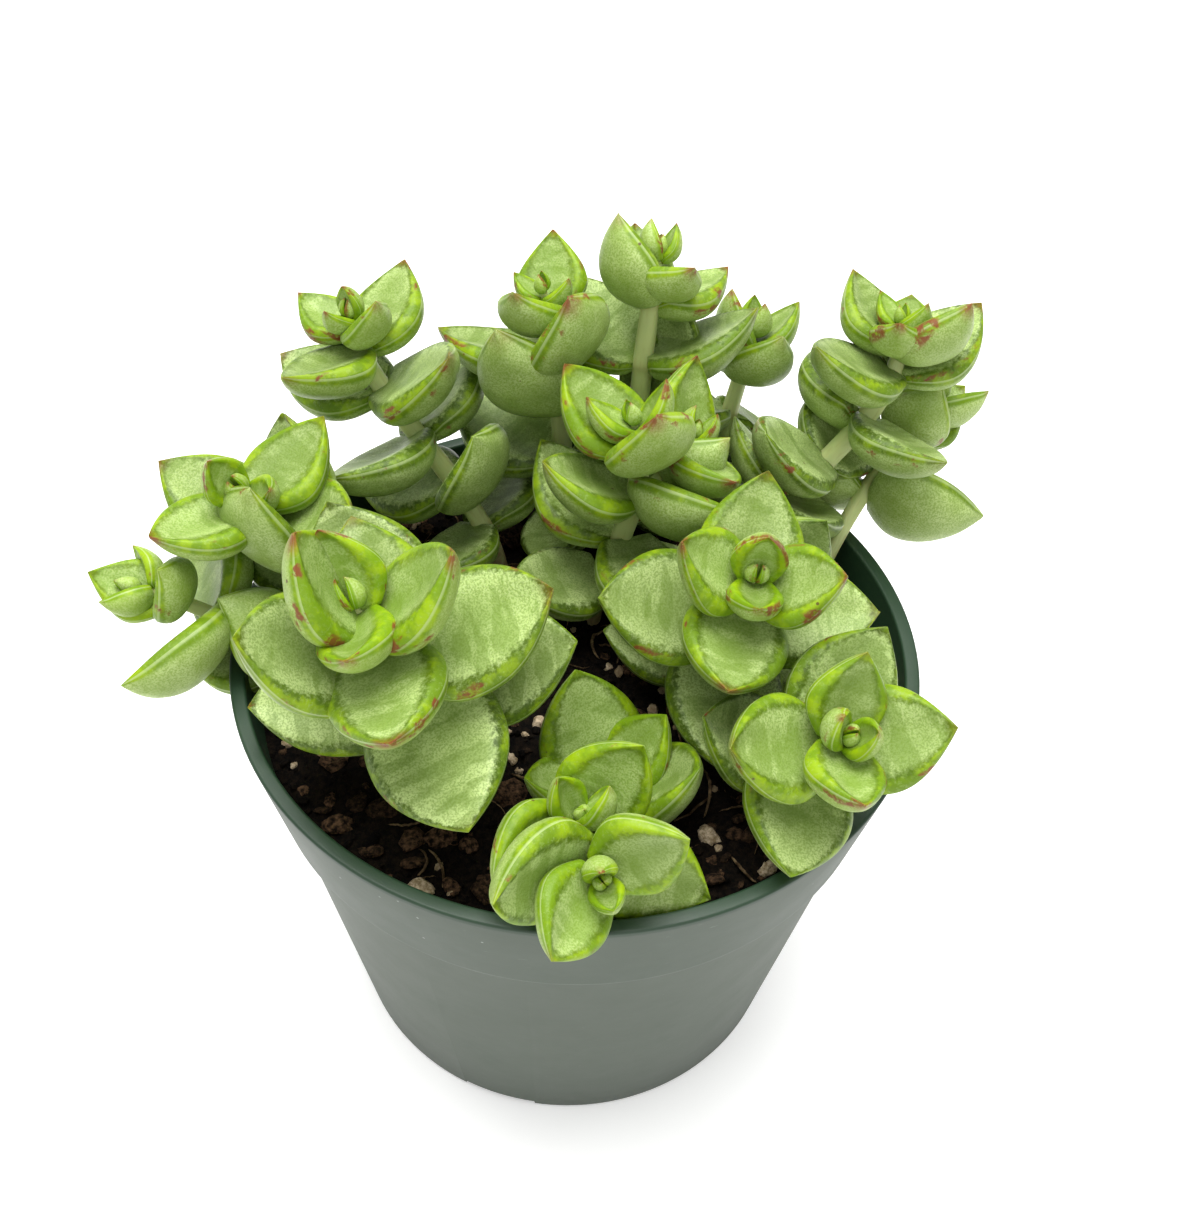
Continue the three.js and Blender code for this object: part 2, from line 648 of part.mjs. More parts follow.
// The mix lifts a leaf. The rim pushes it off as a round bead, and the wall below pushes it sideways.
function pushFromPot(leaf) {
  const beadRadius = (RIM_RADIUS + RIM_INNER_RADIUS) / 2;
  const beadHeight = POT_HEIGHT - 2 * RIM_ROUNDING;
  leaf.points.forEach((point, i) => {
    const { radius } = leaf.fill[i];
    const out = Math.hypot(point.x, point.y);
    const lift = MIX_TOP + MIX_CLEARANCE + radius - point.z;
    if (lift > 0 && out < RIM_INNER_RADIUS) leaf.add(i, new THREE.Vector3(0, 0, lift));
    const beyond = out - beadRadius;
    const above = point.z - beadHeight;
    const outward = new THREE.Vector3(point.x, point.y, 0).divideScalar(Math.max(out, TINY));
    if (above < 0) {
      const depth = radius + RIM_BEAD + LEAF_CLEARANCE - Math.abs(beyond);
      if (depth > 0) leaf.add(i, outward.multiplyScalar(beyond < 0 ? -depth : depth));
    } else {
      const apart = Math.hypot(beyond, above);
      const depth = radius + RIM_BEAD + LEAF_CLEARANCE - apart;
      const push = outward.multiplyScalar(beyond).addScaledVector(UP, above);
      if (depth > 0) leaf.add(i, push.multiplyScalar(depth / Math.max(apart, TINY)));
    }
  });
}

// Leaves that would cross a leaf or stem of another shoot, the rim or the mix turn about their roots.
function giveWay(leaves, curves) {
  const pushes = leaves.map((leaf) => new Push(leaf));
  const stemPoints = curves.map((curve) => curve.getPoints(STEM_POINTS - 1));
  for (let sweep = 0; sweep < SWEEPS; sweep += 1) {
    pushes.forEach((push) => push.settle());
    pushes.forEach((a, i) => {
      pushes.slice(i + 1).forEach((b) => {
        if (a.leaf.stemIndex !== b.leaf.stemIndex) pushLeaves(a, b);
      });
      stemPoints.forEach((points, stemIndex) => {
        if (stemIndex !== a.leaf.stemIndex) pushFromStem(a, points);
      });
      pushFromPot(a);
    });
    pushes.forEach((push) => push.turn());
  }
}

function fuseShoot(index, swell) {
  let shoot = toSolid(stemTube(curves[index], STEMS[index].girth, swell));
  for (const leaf of shootLeaves[index]) {
    shoot = shoot.add(toSolid(leafGeometry(leaf, swell)));
  }
  return shoot;
}

function boxesMeet(a, b) {
  const boxA = a.boundingBox();
  const boxB = b.boundingBox();
  return [0, 1, 2].every((k) => boxA.min[k] < boxB.max[k] && boxB.min[k] < boxA.max[k]);
}

// The pot wall above the mix with room on every side
function rimRoom() {
  const foot = COLLAR_BOTTOM + WALL;
  const ring = turned([
    [COLLAR_BOTTOM_RADIUS - WALL - CUT_CLEARANCE, foot],
    [RIM_RADIUS + CUT_CLEARANCE, foot],
    [RIM_RADIUS + CUT_CLEARANCE, POT_HEIGHT + CUT_CLEARANCE],
    [RIM_INNER_RADIUS - CUT_CLEARANCE, POT_HEIGHT + CUT_CLEARANCE],
    [COLLAR_BOTTOM_RADIUS - WALL - CUT_CLEARANCE, foot],
  ], POT_SEGMENTS);
  return toSolid(ring);
}

// Materials
function finish(color, roughness) {
  return new THREE.MeshStandardMaterial({ color, roughness, metalness: 0 });
}

const POT_PLASTIC = finish(0x3b4f43, 0.5);
const PEAT_MIX = finish(0x2a211a, 0.95);
const LEAF_GREEN = finish(0x8fb05a, 0.45);

function piece(name, solid, material) {
  const mesh = new THREE.Mesh(toGeometry(solid), material);
  mesh.name = name;
  return mesh;
}

const curves = STEMS.map(stemCurve);
const shootLeaves = STEMS.map((stem, i) => leavesOf(stem, i, curves[i]));
giveWay(shootLeaves.flat(), curves);

// All the shoots of one name in one body, swollen by a clearance
function fuseStem(name, swell) {
  const shoots = STEMS.map((stem, i) => (stem.name === name ? fuseShoot(i, swell) : null));
  return shoots.filter(Boolean).reduce((body, shoot) => body.add(shoot));
}

const plant = new THREE.Group();
const pot = makePot();
let mix = makeMix();
const taken = [rimRoom()];
for (const name of new Set(STEMS.map((stem) => stem.name))) {
  let body = fuseStem(name, 0);
  for (const neighbour of taken) {
    if (boxesMeet(body, neighbour)) body = body.subtract(neighbour);
  }
  const room = fuseStem(name, CUT_CLEARANCE);
  taken.push(room);
  mix = mix.subtract(room);
  plant.add(piece(name, largestBody(body), LEAF_GREEN.clone()));
}

const potted = new THREE.Group();
potted.add(piece('pot', pot, POT_PLASTIC));
potted.add(piece('potting_mix', largestBody(mix), PEAT_MIX));
potted.add(plant);

export default potted;
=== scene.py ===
"""A potted crassula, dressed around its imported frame.

The stems and leaves are laid out by the same rule that placed the solids: every stem is a smooth
curve from the mix to its bud, carries opposite pairs of leaves a quarter turn from pair to pair,
and leaves that would cross another stem turn about their roots until they clear it. Each part is
then built with finer meshes and procedural finishes. Shapes are worked out in millimetres and
turned to metres when a mesh is finished.
"""

import logging
import math
import random
from dataclasses import dataclass, field
from enum import Enum

import bmesh
import bpy
import numpy as np
from mathutils import Matrix, Vector, noise


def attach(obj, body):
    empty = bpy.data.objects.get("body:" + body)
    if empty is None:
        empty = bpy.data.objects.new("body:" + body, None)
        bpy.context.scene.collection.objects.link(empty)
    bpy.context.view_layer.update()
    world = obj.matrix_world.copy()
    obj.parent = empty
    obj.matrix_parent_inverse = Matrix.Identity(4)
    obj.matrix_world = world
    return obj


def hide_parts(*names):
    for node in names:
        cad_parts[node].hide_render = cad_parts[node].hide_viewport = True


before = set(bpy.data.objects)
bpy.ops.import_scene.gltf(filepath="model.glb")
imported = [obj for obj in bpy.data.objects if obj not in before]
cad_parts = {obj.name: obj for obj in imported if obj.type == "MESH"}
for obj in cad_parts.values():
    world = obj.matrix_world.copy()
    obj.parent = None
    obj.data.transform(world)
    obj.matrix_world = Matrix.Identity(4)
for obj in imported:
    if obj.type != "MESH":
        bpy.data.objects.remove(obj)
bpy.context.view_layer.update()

MM = 0.001
ROOT_BODY = "root"
TINY = 1e-6
WHITE = (1.0, 1.0, 1.0, 1.0)
DRAW_STEPS = (12.9898, 78.233, 37.719)
MIX_TOP = 70.5
STEM_RADIUS = 1.7
LOG = logging.getLogger("crassula")


class Slot(Enum):
    """The material slots of the record."""

    POT = "pot_plastic"
    MIX = "peat_mix"
    LEAF = "leaf_green"


# Shader building

Socket = bpy.types.NodeSocket
Colour = tuple[float, float, float]
Pair = tuple[float, float]
Pattern = tuple[float, float, float]
Tearing = tuple[float, float, float, float]

# Where the Mix node keeps its two numbers, its two colours and the mixed colour
MIX_NUMBERS = (2, 3)
MIX_COLOURS = (6, 7)
MIX_COLOUR_RESULT = 2


class Graph:
    """Adds and joins the nodes of one shader tree."""

    def __init__(self, tree: bpy.types.NodeTree) -> None:
        """Keeps the tree that nodes are added to."""
        self.tree = tree

    def node(self, kind: str, **settings: object) -> bpy.types.Node:
        """Adds a node.

        Args:
            kind: The node's type name without its "ShaderNode" start.
            settings: Properties to set on the node.

        Returns:
            The new node.
        """
        made = self.tree.nodes.new("ShaderNode" + kind)
        for key, value in settings.items():
            setattr(made, key, value)
        return made

    def feed(self, socket: Socket, value: object) -> None:
        """Joins a socket to another one, or sets its value.

        Args:
            socket: The input to feed.
            value: An output socket, a number, or a colour or vector of numbers.
        """
        if isinstance(value, Socket):
            self.tree.links.new(value, socket)
        elif isinstance(value, tuple) and socket.type == "RGBA" and len(value) == 3:
            socket.default_value = (*value, 1.0)
        else:
            socket.default_value = value

    def math(self, operation: str, *values: object) -> Socket:
        """Adds a Math node and returns its result."""
        made = self.node("Math", operation=operation)
        for socket, value in zip(made.inputs, values):
            self.feed(socket, value)
        return made.outputs[0]

    def times(self, first: object, second: object) -> Socket:
        """Multiplies two numbers."""
        return self.math("MULTIPLY", first, second)

    def stretched(self, place: object, factors: Pattern) -> Socket:
        """Multiplies a place by a factor for each axis.

        Args:
            place: The place.
            factors: One factor for each axis.

        Returns:
            The stretched place.
        """
        made = self.node("VectorMath", operation="MULTIPLY")
        self.feed(made.inputs[0], place)
        self.feed(made.inputs[1], factors)
        return made.outputs[0]

    def millimetres(self) -> Socket:
        """The place on the piece, in millimetres."""
        return self.stretched(self.node("TexCoord").outputs["Object"], (1.0 / MM, 1.0 / MM, 1.0 / MM))

    def blend(self, share: object, first: object, second: object) -> Socket:
        """Mixes two colours.

        Args:
            share: How much of the second colour shows, 0 to 1.
            first: The colour below.
            second: The colour above.

        Returns:
            The mixed colour.
        """
        made = self.node("Mix", data_type="RGBA")
        self.feed(made.inputs["Factor"], share)
        for place, value in zip(MIX_COLOURS, (first, second)):
            self.feed(made.inputs[place], value)
        return made.outputs[MIX_COLOUR_RESULT]

    def between(self, share: object, first: object, second: object) -> Socket:
        """Mixes two numbers.

        Args:
            share: How much of the second number counts, 0 to 1.
            first: The number at 0.
            second: The number at 1.

        Returns:
            The mixed number.
        """
        made = self.node("Mix", data_type="FLOAT")
        self.feed(made.inputs["Factor"], share)
        for place, value in zip(MIX_NUMBERS, (first, second)):
            self.feed(made.inputs[place], value)
        return made.outputs[0]

    def rise(self, value: object, low: object, high: object) -> Socket:
        """Adds a smooth step. With low above high it falls instead of rising.

        Args:
            value: The value that the step follows.
            low: Where the step is 0.
            high: Where it is 1.

        Returns:
            The step.
        """
        made = self.node("MapRange", interpolation_type="SMOOTHSTEP")
        self.feed(made.inputs["Value"], value)
        self.feed(made.inputs["From Min"], low)
        self.feed(made.inputs["From Max"], high)
        return made.outputs["Result"]

    def noise(self, place: object, scale: object, detail: float, rough: float) -> Socket:
        """Adds a Noise Texture.

        Args:
            place: Where it is read.
            scale: Its scale.
            detail: How many finer layers it has.
            rough: How much they count.

        Returns:
            Its value, about 0.5 on average.
        """
        made = self.node("TexNoise")
        self.feed(made.inputs["Vector"], place)
        self.feed(made.inputs["Scale"], scale)
        self.feed(made.inputs["Detail"], detail)
        self.feed(made.inputs["Roughness"], rough)
        return made.outputs["Fac"]

    def attribute(self, name: str) -> tuple[Socket, Socket, Socket, Socket]:
        """Reads a vector attribute of the mesh.

        Args:
            name: The attribute's name.

        Returns:
            Its x, y and z values and the whole vector.
        """
        made = self.node("Attribute", attribute_name=name)
        parts = self.node("SeparateXYZ")
        self.feed(parts.inputs[0], made.outputs["Vector"])
        return parts.outputs[0], parts.outputs[1], parts.outputs[2], made.outputs["Vector"]

    def group(self, tree: bpy.types.NodeTree, **values: object) -> Socket:
        """Places a node group, feeds its inputs by name and returns its first output."""
        made = self.node("Group", node_tree=tree)
        for key, value in values.items():
            self.feed(made.inputs[key], value)
        return made.outputs[0]

    def bump(self, shader: bpy.types.Node, height: object, depth_mm: float, strength: float) -> None:
        """Feeds a height to the shader's normal.

        Args:
            shader: The Principled BSDF.
            height: The height, 0 to 1.
            depth_mm: The real depth of a height of 1.
            strength: How strongly it shows.
        """
        made = self.node("Bump")
        made.inputs["Strength"].default_value = strength
        made.inputs["Distance"].default_value = depth_mm * MM
        self.feed(made.inputs["Height"], height)
        self.feed(shader.inputs["Normal"], made.outputs["Normal"])


def new_group(name: str, inputs: dict[str, float]) -> tuple[Graph, bpy.types.NodeOutputs, Socket]:
    """Starts a shader node group that reads a place and some numbers, and puts out one mask.

    Args:
        name: The group's name.
        inputs: Name and default of each number that it reads.

    Returns:
        The graph, the group's inputs and the socket for its mask.
    """
    tree = bpy.data.node_groups.new(name, "ShaderNodeTree")
    tree.interface.new_socket(name="Place", in_out="INPUT", socket_type="NodeSocketVector")
    for label, default in inputs.items():
        socket = tree.interface.new_socket(name=label, in_out="INPUT", socket_type="NodeSocketFloat")
        socket.default_value = default
    tree.interface.new_socket(name="Mask", in_out="OUTPUT", socket_type="NodeSocketFloat")
    entry = tree.nodes.new("NodeGroupInput")
    leave = tree.nodes.new("NodeGroupOutput")
    return Graph(tree), entry.outputs, leave.inputs["Mask"]


@dataclass
class Effects:
    """Node groups that several finishes share. Each puts out one mask."""

    border_detail: float = 5.0
    border_roughness: float = 0.62
    noise_middle: float = 0.5
    speck_core: float = 0.55

    def __post_init__(self) -> None:
        """Builds the groups once."""
        self.ragged = self.build_ragged()
        self.specks = self.build_specks()

    def build_ragged(self) -> bpy.types.NodeTree:
        """A step along a value whose border is torn by noise."""
        inputs = {"Value": 0.0, "Scale": 1.0, "Tear": 0.2, "Low": 0.4, "High": 0.6}
        graph, given, mask = new_group("Ragged step", inputs)
        torn = graph.noise(given["Place"], given["Scale"], self.border_detail, self.border_roughness)
        shift = graph.math("SUBTRACT", torn, self.noise_middle)
        shifted = graph.math("MULTIPLY_ADD", shift, given["Tear"], given["Value"])
        graph.feed(mask, graph.rise(shifted, given["Low"], given["High"]))
        return graph.tree

    def build_specks(self) -> bpy.types.NodeTree:
        """Small round spots in a few of the cells of a pattern."""
        graph, given, mask = new_group("Scattered specks", {"Scale": 1.0, "Share": 0.1, "Size": 0.2})
        cells = graph.node("TexVoronoi")
        graph.feed(cells.inputs["Vector"], given["Place"])
        graph.feed(cells.inputs["Scale"], given["Scale"])
        parts = graph.node("SeparateXYZ")
        graph.feed(parts.inputs[0], cells.outputs["Color"])
        chosen = graph.math("LESS_THAN", parts.outputs[0], given["Share"])
        core = graph.times(given["Size"], self.speck_core)
        away = graph.rise(cells.outputs["Distance"], core, given["Size"])
        near = graph.math("SUBTRACT", 1.0, away)
        graph.feed(mask, graph.times(near, chosen))
        return graph.tree

    def torn(self, graph: Graph, value: object, place: object, scale: float, tear: float,
             low: object, high: object) -> Socket:
        """Places the ragged step.

        Args:
            graph: The material's graph.
            value: The value that the step follows.
            place: The place on the surface, in millimetres.
            scale: How fine the tears are.
            tear: How far they reach.
            low: Value below which the mask is 0.
            high: Value above which it is 1.

        Returns:
            The mask.
        """
        return graph.group(self.ragged, Value=value, Place=place, Scale=scale, Tear=tear, Low=low, High=high)

    def dots(self, graph: Graph, place: object, scale: float, share: float, size: float) -> Socket:
        """Places the specks and returns their mask."""
        return graph.group(self.specks, Place=place, Scale=scale, Share=share, Size=size)


def new_material(name: str) -> tuple[bpy.types.Material, Graph, bpy.types.Node]:
    """Starts a material with one Principled BSDF.

    Args:
        name: The material's name.

    Returns:
        The material, its graph and the shader node.
    """
    material = bpy.data.materials.new(name)
    material.use_nodes = True
    shader = material.node_tree.nodes["Principled BSDF"]
    return material, Graph(material.node_tree), shader


# Finishes. A Pair holds the two ends of a soft step or of a mix. A Pattern holds a noise's scale,
# detail and roughness, the specks' scale, share and size, or a factor for each axis. A Tearing
# holds a ragged step's scale, tear, low and high.


@dataclass
class LeafMarks:
    """What the leaf finish reads from the mesh, and two values that it works out from that."""

    edge: Socket
    along: Socket
    under: Socket
    age: Socket
    sun: Socket
    draw: Socket
    place: Socket
    inside: Socket
    granules: Socket


@dataclass(frozen=True)
class LeafFinish:
    """The leaf surface: frosted faces whose pale frost is partly real wax and partly painted sheen, a clear
    lime band along the margin and red tips.
    """

    old_face: Colour = (0.122, 0.198, 0.027)
    young_face: Colour = (0.170, 0.295, 0.012)
    # Painted sheen: the pale frost colour is partly real wax and partly paints the broad sheen of the lights.
    frost_and_sheen: Colour = (0.505, 0.625, 0.250)
    old_under: Colour = (0.180, 0.275, 0.044)
    young_under: Colour = (0.235, 0.360, 0.026)
    old_band: Colour = (0.094, 0.170, 0.002)
    young_band: Colour = (0.182, 0.325, 0.001)
    bright_band: Colour = (0.290, 0.430, 0.001)
    dark_rim: Colour = (0.045, 0.086, 0.001)
    # Painted sheen: the pale line at the margin stands for the frost catching the light at grazing angles.
    sheen_edge_line: Colour = (0.500, 0.600, 0.290)
    blush: Colour = (0.200, 0.026, 0.018)
    scar: Colour = (0.090, 0.040, 0.015)

    granules: Pattern = (3.4, 2.0, 0.6)
    granule_step: Pair = (0.38, 0.60)
    granule_height: float = 0.30
    uneven: Pattern = (0.35, 3.0, 0.5)
    bump_depth: float = 0.28
    bump_strength: float = 0.6
    gloss: Pattern = (0.5, 3.0, 0.6)
    roughness: Pair = (0.32, 0.54)
    refraction: float = 1.42
    specular: float = 0.34
    flesh: float = 0.12
    flesh_colour: Colour = (0.7, 1.0, 0.25)
    flesh_depth: float = 1.4

    face_ageing: float = 0.6
    water_stretch: Pattern = (0.10, 0.34, 0.2)
    water: Pattern = (1.0, 2.0, 0.5)
    water_border: Tearing = (0.8, 0.07, 0.49, 0.56)
    face_cloud: Tearing = (0.16, 1.0, -0.16, 0.20)
    cloud_bloom_and_sheen: Pair = (0.34, 0.72)
    # Painted sheen: the frost is paler just inside the band than along the middle.
    sheen_near_band: Pair = (-0.55, -0.05)
    near_band_sheen: float = 0.80
    washed_bloom: float = 0.50
    bare_granule: float = 0.42
    young_bloom: float = 0.55
    lift: Pair = (0.86, 1.12)

    below_step: Pair = (0.0, 0.05)
    under_cloud: Tearing = (0.22, 1.0, -0.2, 0.25)
    under_bloom: Pair = (0.30, 0.85)
    under_bare_granule: float = 0.30
    keel: float = 0.25

    band_start: Pair = (0.46, 0.85)
    band_tear: Pair = (1.2, 0.46)
    band_low: Pair = (-0.20, -0.07)
    band_high: Pair = (0.14, 0.06)
    band_under: Pair = (0.008, 0.055)
    band_ageing: float = 0.8
    rim_border: Tearing = (0.7, 0.5, 0.03, 0.16)
    rim_cover: Pair = (0.38, 0.9)
    bright: Pattern = (0.28, 3.0, 0.6)
    bright_step: Pair = (0.42, 0.62)
    bright_cover: Pair = (0.9, 0.5)
    fleck: Pattern = (1.6, 4.0, 0.7)
    fleck_step: Pair = (0.52, 0.60)
    band_cover: Pair = (0.96, 0.74)
    line_start: Pair = (0.0, 0.0006)
    line_end: Pair = (0.008, 0.003)
    line_cover: float = 0.45

    tip_step: Pair = (0.88, 0.98)
    margin_step: Pair = (0.80, 0.94)
    margin_under: Pair = (0.25, 0.05)
    tip_margin: Pair = (0.6, 1.0)
    tip_sun: Pair = (-0.05, 0.55)
    streak_stretch: Pattern = (1.0, 0.45, 1.0)
    streak: Pattern = (0.30, 4.0, 0.6)
    streak_sun: float = 0.10
    streak_step: Pair = (0.625, 0.69)
    mottle: Pattern = (1.3, 4.0, 0.7)
    mottle_step: Pair = (0.36, 0.50)
    mottle_cover: Pair = (0.35, 1.0)
    mark_cover: float = 0.85
    specks: Pattern = (0.42, 0.035, 0.13)

    def material(self, effects: Effects) -> bpy.types.Material:
        """Builds the material from the leaf's own attributes.

        Args:
            effects: The shared node groups.

        Returns:
            The finished material.
        """
        material, graph, shader = new_material("leaf_skin")
        edge, along, under, _ = graph.attribute("leaf_form")
        age, sun, draw, _ = graph.attribute("leaf_life")
        place = graph.attribute("leaf_place")[3]
        inside = graph.math("SUBTRACT", edge, graph.between(age, *self.band_start))
        granules = graph.noise(place, *self.granules)
        leaf = LeafMarks(edge, along, under, age, sun, draw, place, inside, granules)
        above = self.face_colour(graph, effects, leaf)
        below = self.under_colour(graph, effects, leaf)
        colour = graph.blend(graph.rise(under, *self.below_step), above, below)
        colour = self.with_band(graph, effects, leaf, colour)
        colour = self.with_marks(graph, effects, leaf, colour)
        graph.feed(shader.inputs["Base Color"], colour)
        rough = graph.between(graph.noise(place, *self.gloss), *self.roughness)
        graph.feed(shader.inputs["Roughness"], rough)
        shader.inputs["IOR"].default_value = self.refraction
        shader.inputs["Specular IOR Level"].default_value = self.specular
        shader.inputs["Subsurface Weight"].default_value = self.flesh
        shader.inputs["Subsurface Radius"].default_value = self.flesh_colour
        shader.inputs["Subsurface Scale"].default_value = self.flesh_depth * MM
        uneven = graph.noise(place, *self.uneven)
        height = graph.math("MULTIPLY_ADD", granules, self.granule_height, uneven)
        graph.bump(shader, height, self.bump_depth, self.bump_strength)
        return material

    def face_colour(self, graph: Graph, effects: Effects, leaf: LeafMarks) -> Socket:
        """The upper face: dull green under grains of pale frost, worn in crosswise patches, with a painted
        sheen that makes the frost paler just inside the band than along the middle.

        Args:
            graph: The material's graph.
            effects: The shared node groups.
            leaf: What is read from the mesh.

        Returns:
            The face's colour.
        """
        base = graph.blend(graph.math("POWER", leaf.age, self.face_ageing), self.young_face, self.old_face)
        water = graph.noise(graph.stretched(leaf.place, self.water_stretch), *self.water)
        washed = effects.torn(graph, water, leaf.place, *self.water_border)
        cloud = effects.torn(graph, 0.0, leaf.place, *self.face_cloud)
        # Painted sheen: the frost is made paler just inside the band, as if lit, and stays darker along the
        # middle.
        sheen_near_band = graph.rise(leaf.inside, *self.sheen_near_band)
        bloom_and_sheen = graph.between(sheen_near_band, graph.between(cloud, *self.cloud_bloom_and_sheen), self.near_band_sheen)
        bloom_and_sheen = graph.times(bloom_and_sheen, graph.between(washed, 1.0, self.washed_bloom))
        grain = graph.rise(leaf.granules, *self.granule_step)
        bloom_and_sheen = graph.times(bloom_and_sheen, graph.between(grain, self.bare_granule, 1.0))
        bloom_and_sheen = graph.times(bloom_and_sheen, graph.between(leaf.age, self.young_bloom, 1.0))
        frosted = graph.blend(bloom_and_sheen, base, self.frost_and_sheen)
        shaded = graph.node("VectorMath", operation="SCALE")
        graph.feed(shaded.inputs[0], frosted)
        graph.feed(shaded.inputs["Scale"], graph.between(leaf.draw, *self.lift))
        return shaded.outputs[0]

    def under_colour(self, graph: Graph, effects: Effects, leaf: LeafMarks) -> Socket:
        """The underside: even grains of pale frost, partly painted sheen, a little greener towards the keel.

        Args:
            graph: The material's graph.
            effects: The shared node groups.
            leaf: What is read from the mesh.

        Returns:
            The underside's colour.
        """
        base = graph.blend(graph.math("POWER", leaf.age, self.face_ageing), self.young_under, self.old_under)
        cloud = effects.torn(graph, 0.0, leaf.place, *self.under_cloud)
        grain = graph.between(graph.rise(leaf.granules, *self.granule_step), self.under_bare_granule, 1.0)
        bloom_and_sheen = graph.times(graph.between(cloud, *self.under_bloom), grain)
        frosted = graph.blend(bloom_and_sheen, base, self.frost_and_sheen)
        return graph.blend(graph.times(leaf.under, self.keel), frosted, base)

    def with_band(self, graph: Graph, effects: Effects, leaf: LeafMarks, colour: Socket) -> Socket:
        """Lays the clear band along the margin, its dark inner border and the pale line outside it, a painted
        sheen of the frost at grazing angles.

        Args:
            graph: The material's graph.
            effects: The shared node groups.
            leaf: What is read from the mesh.
            colour: The colour so far.

        Returns:
            The colour with the band.
        """
        low = graph.between(leaf.age, *self.band_low)
        high = graph.between(leaf.age, *self.band_high)
        border = effects.torn(graph, leaf.inside, leaf.place, *self.band_tear, low, high)
        above = graph.math("SUBTRACT", 1.0, graph.rise(leaf.under, *self.band_under))
        lime = graph.blend(graph.math("POWER", leaf.age, self.band_ageing), self.young_band, self.old_band)
        bright = graph.rise(graph.noise(leaf.place, *self.bright), *self.bright_step)
        bright = graph.times(bright, graph.between(leaf.age, *self.bright_cover))
        lime = graph.blend(bright, lime, self.bright_band)
        inner = effects.torn(graph, leaf.inside, leaf.place, *self.rim_border)
        shade = graph.times(graph.math("SUBTRACT", 1.0, inner), graph.between(leaf.age, *self.rim_cover))
        lime = graph.blend(shade, lime, self.dark_rim)
        fleck = graph.rise(graph.noise(leaf.place, *self.fleck), *self.fleck_step)
        cover = graph.times(graph.times(border, above), graph.between(fleck, *self.band_cover))
        colour = graph.blend(cover, colour, lime)
        # Painted sheen: a pale line just under the margin, for the frost's sheen at grazing angles.
        line = graph.times(graph.rise(leaf.under, *self.line_start), graph.rise(leaf.under, *self.line_end))
        return graph.blend(graph.times(line, self.line_cover), colour, self.sheen_edge_line)

    def with_marks(self, graph: Graph, effects: Effects, leaf: LeafMarks, colour: Socket) -> Socket:
        """Adds the red of tips and sunny margins, small scars and dark specks.

        Args:
            graph: The material's graph.
            effects: The shared node groups.
            leaf: What is read from the mesh.
            colour: The colour so far.

        Returns:
            The colour with the marks.
        """
        margin = graph.rise(leaf.edge, *self.margin_step)
        margin = graph.times(margin, graph.rise(leaf.under, *self.margin_under))
        tip = graph.times(graph.rise(leaf.along, *self.tip_step), graph.between(margin, *self.tip_margin))
        tip = graph.times(tip, graph.rise(leaf.sun, *self.tip_sun))
        patches = graph.noise(graph.stretched(leaf.place, self.streak_stretch), *self.streak)
        sunned = graph.math("MULTIPLY_ADD", leaf.sun, self.streak_sun, patches)
        streak = graph.times(graph.rise(sunned, *self.streak_step), margin)
        mottle = graph.rise(graph.noise(leaf.place, *self.mottle), *self.mottle_step)
        red = graph.times(graph.math("MAXIMUM", tip, streak), graph.between(mottle, *self.mottle_cover))
        colour = graph.blend(graph.times(red, self.mark_cover), colour, self.blush)
        specks = effects.dots(graph, leaf.place, *self.specks)
        return graph.blend(graph.times(specks, self.mark_cover), colour, self.scar)


@dataclass(frozen=True)
class StemFinish:
    """The stem skin: pale cream green at the top, brown and dull near the mix."""

    young: Colour = (0.500, 0.570, 0.230)
    old: Colour = (0.260, 0.210, 0.090)
    ring: Colour = (0.330, 0.330, 0.110)
    ageing: Tearing = (0.5, 0.35, 0.36, 0.02)
    line_stretch: Pattern = (2.2, 0.25, 1.0)
    lines: Pattern = (1.0, 3.0, 0.6)
    line_step: Pair = (0.5, 0.7)
    line_cover: float = 0.3
    ring_cover: float = 0.55
    roughness: float = 0.55
    flesh: float = 0.12
    flesh_depth: float = 1.0
    bump_depth: float = 0.15
    bump_strength: float = 0.5

    def material(self, effects: Effects) -> bpy.types.Material:
        """Builds the material from the stem's own attributes.

        Args:
            effects: The shared node groups.

        Returns:
            The finished material.
        """
        material, graph, shader = new_material("stem_skin")
        rise, knot, _, _ = graph.attribute("stem_form")
        place = graph.attribute("stem_place")[3]
        colour = graph.blend(effects.torn(graph, rise, place, *self.ageing), self.young, self.old)
        lines = graph.noise(graph.stretched(place, self.line_stretch), *self.lines)
        cover = graph.times(graph.rise(lines, *self.line_step), self.line_cover)
        colour = graph.blend(cover, colour, self.ring)
        colour = graph.blend(graph.times(knot, self.ring_cover), colour, self.ring)
        graph.feed(shader.inputs["Base Color"], colour)
        shader.inputs["Roughness"].default_value = self.roughness
        shader.inputs["Subsurface Weight"].default_value = self.flesh
        shader.inputs["Subsurface Scale"].default_value = self.flesh_depth * MM
        graph.bump(shader, lines, self.bump_depth, self.bump_strength)
        return material


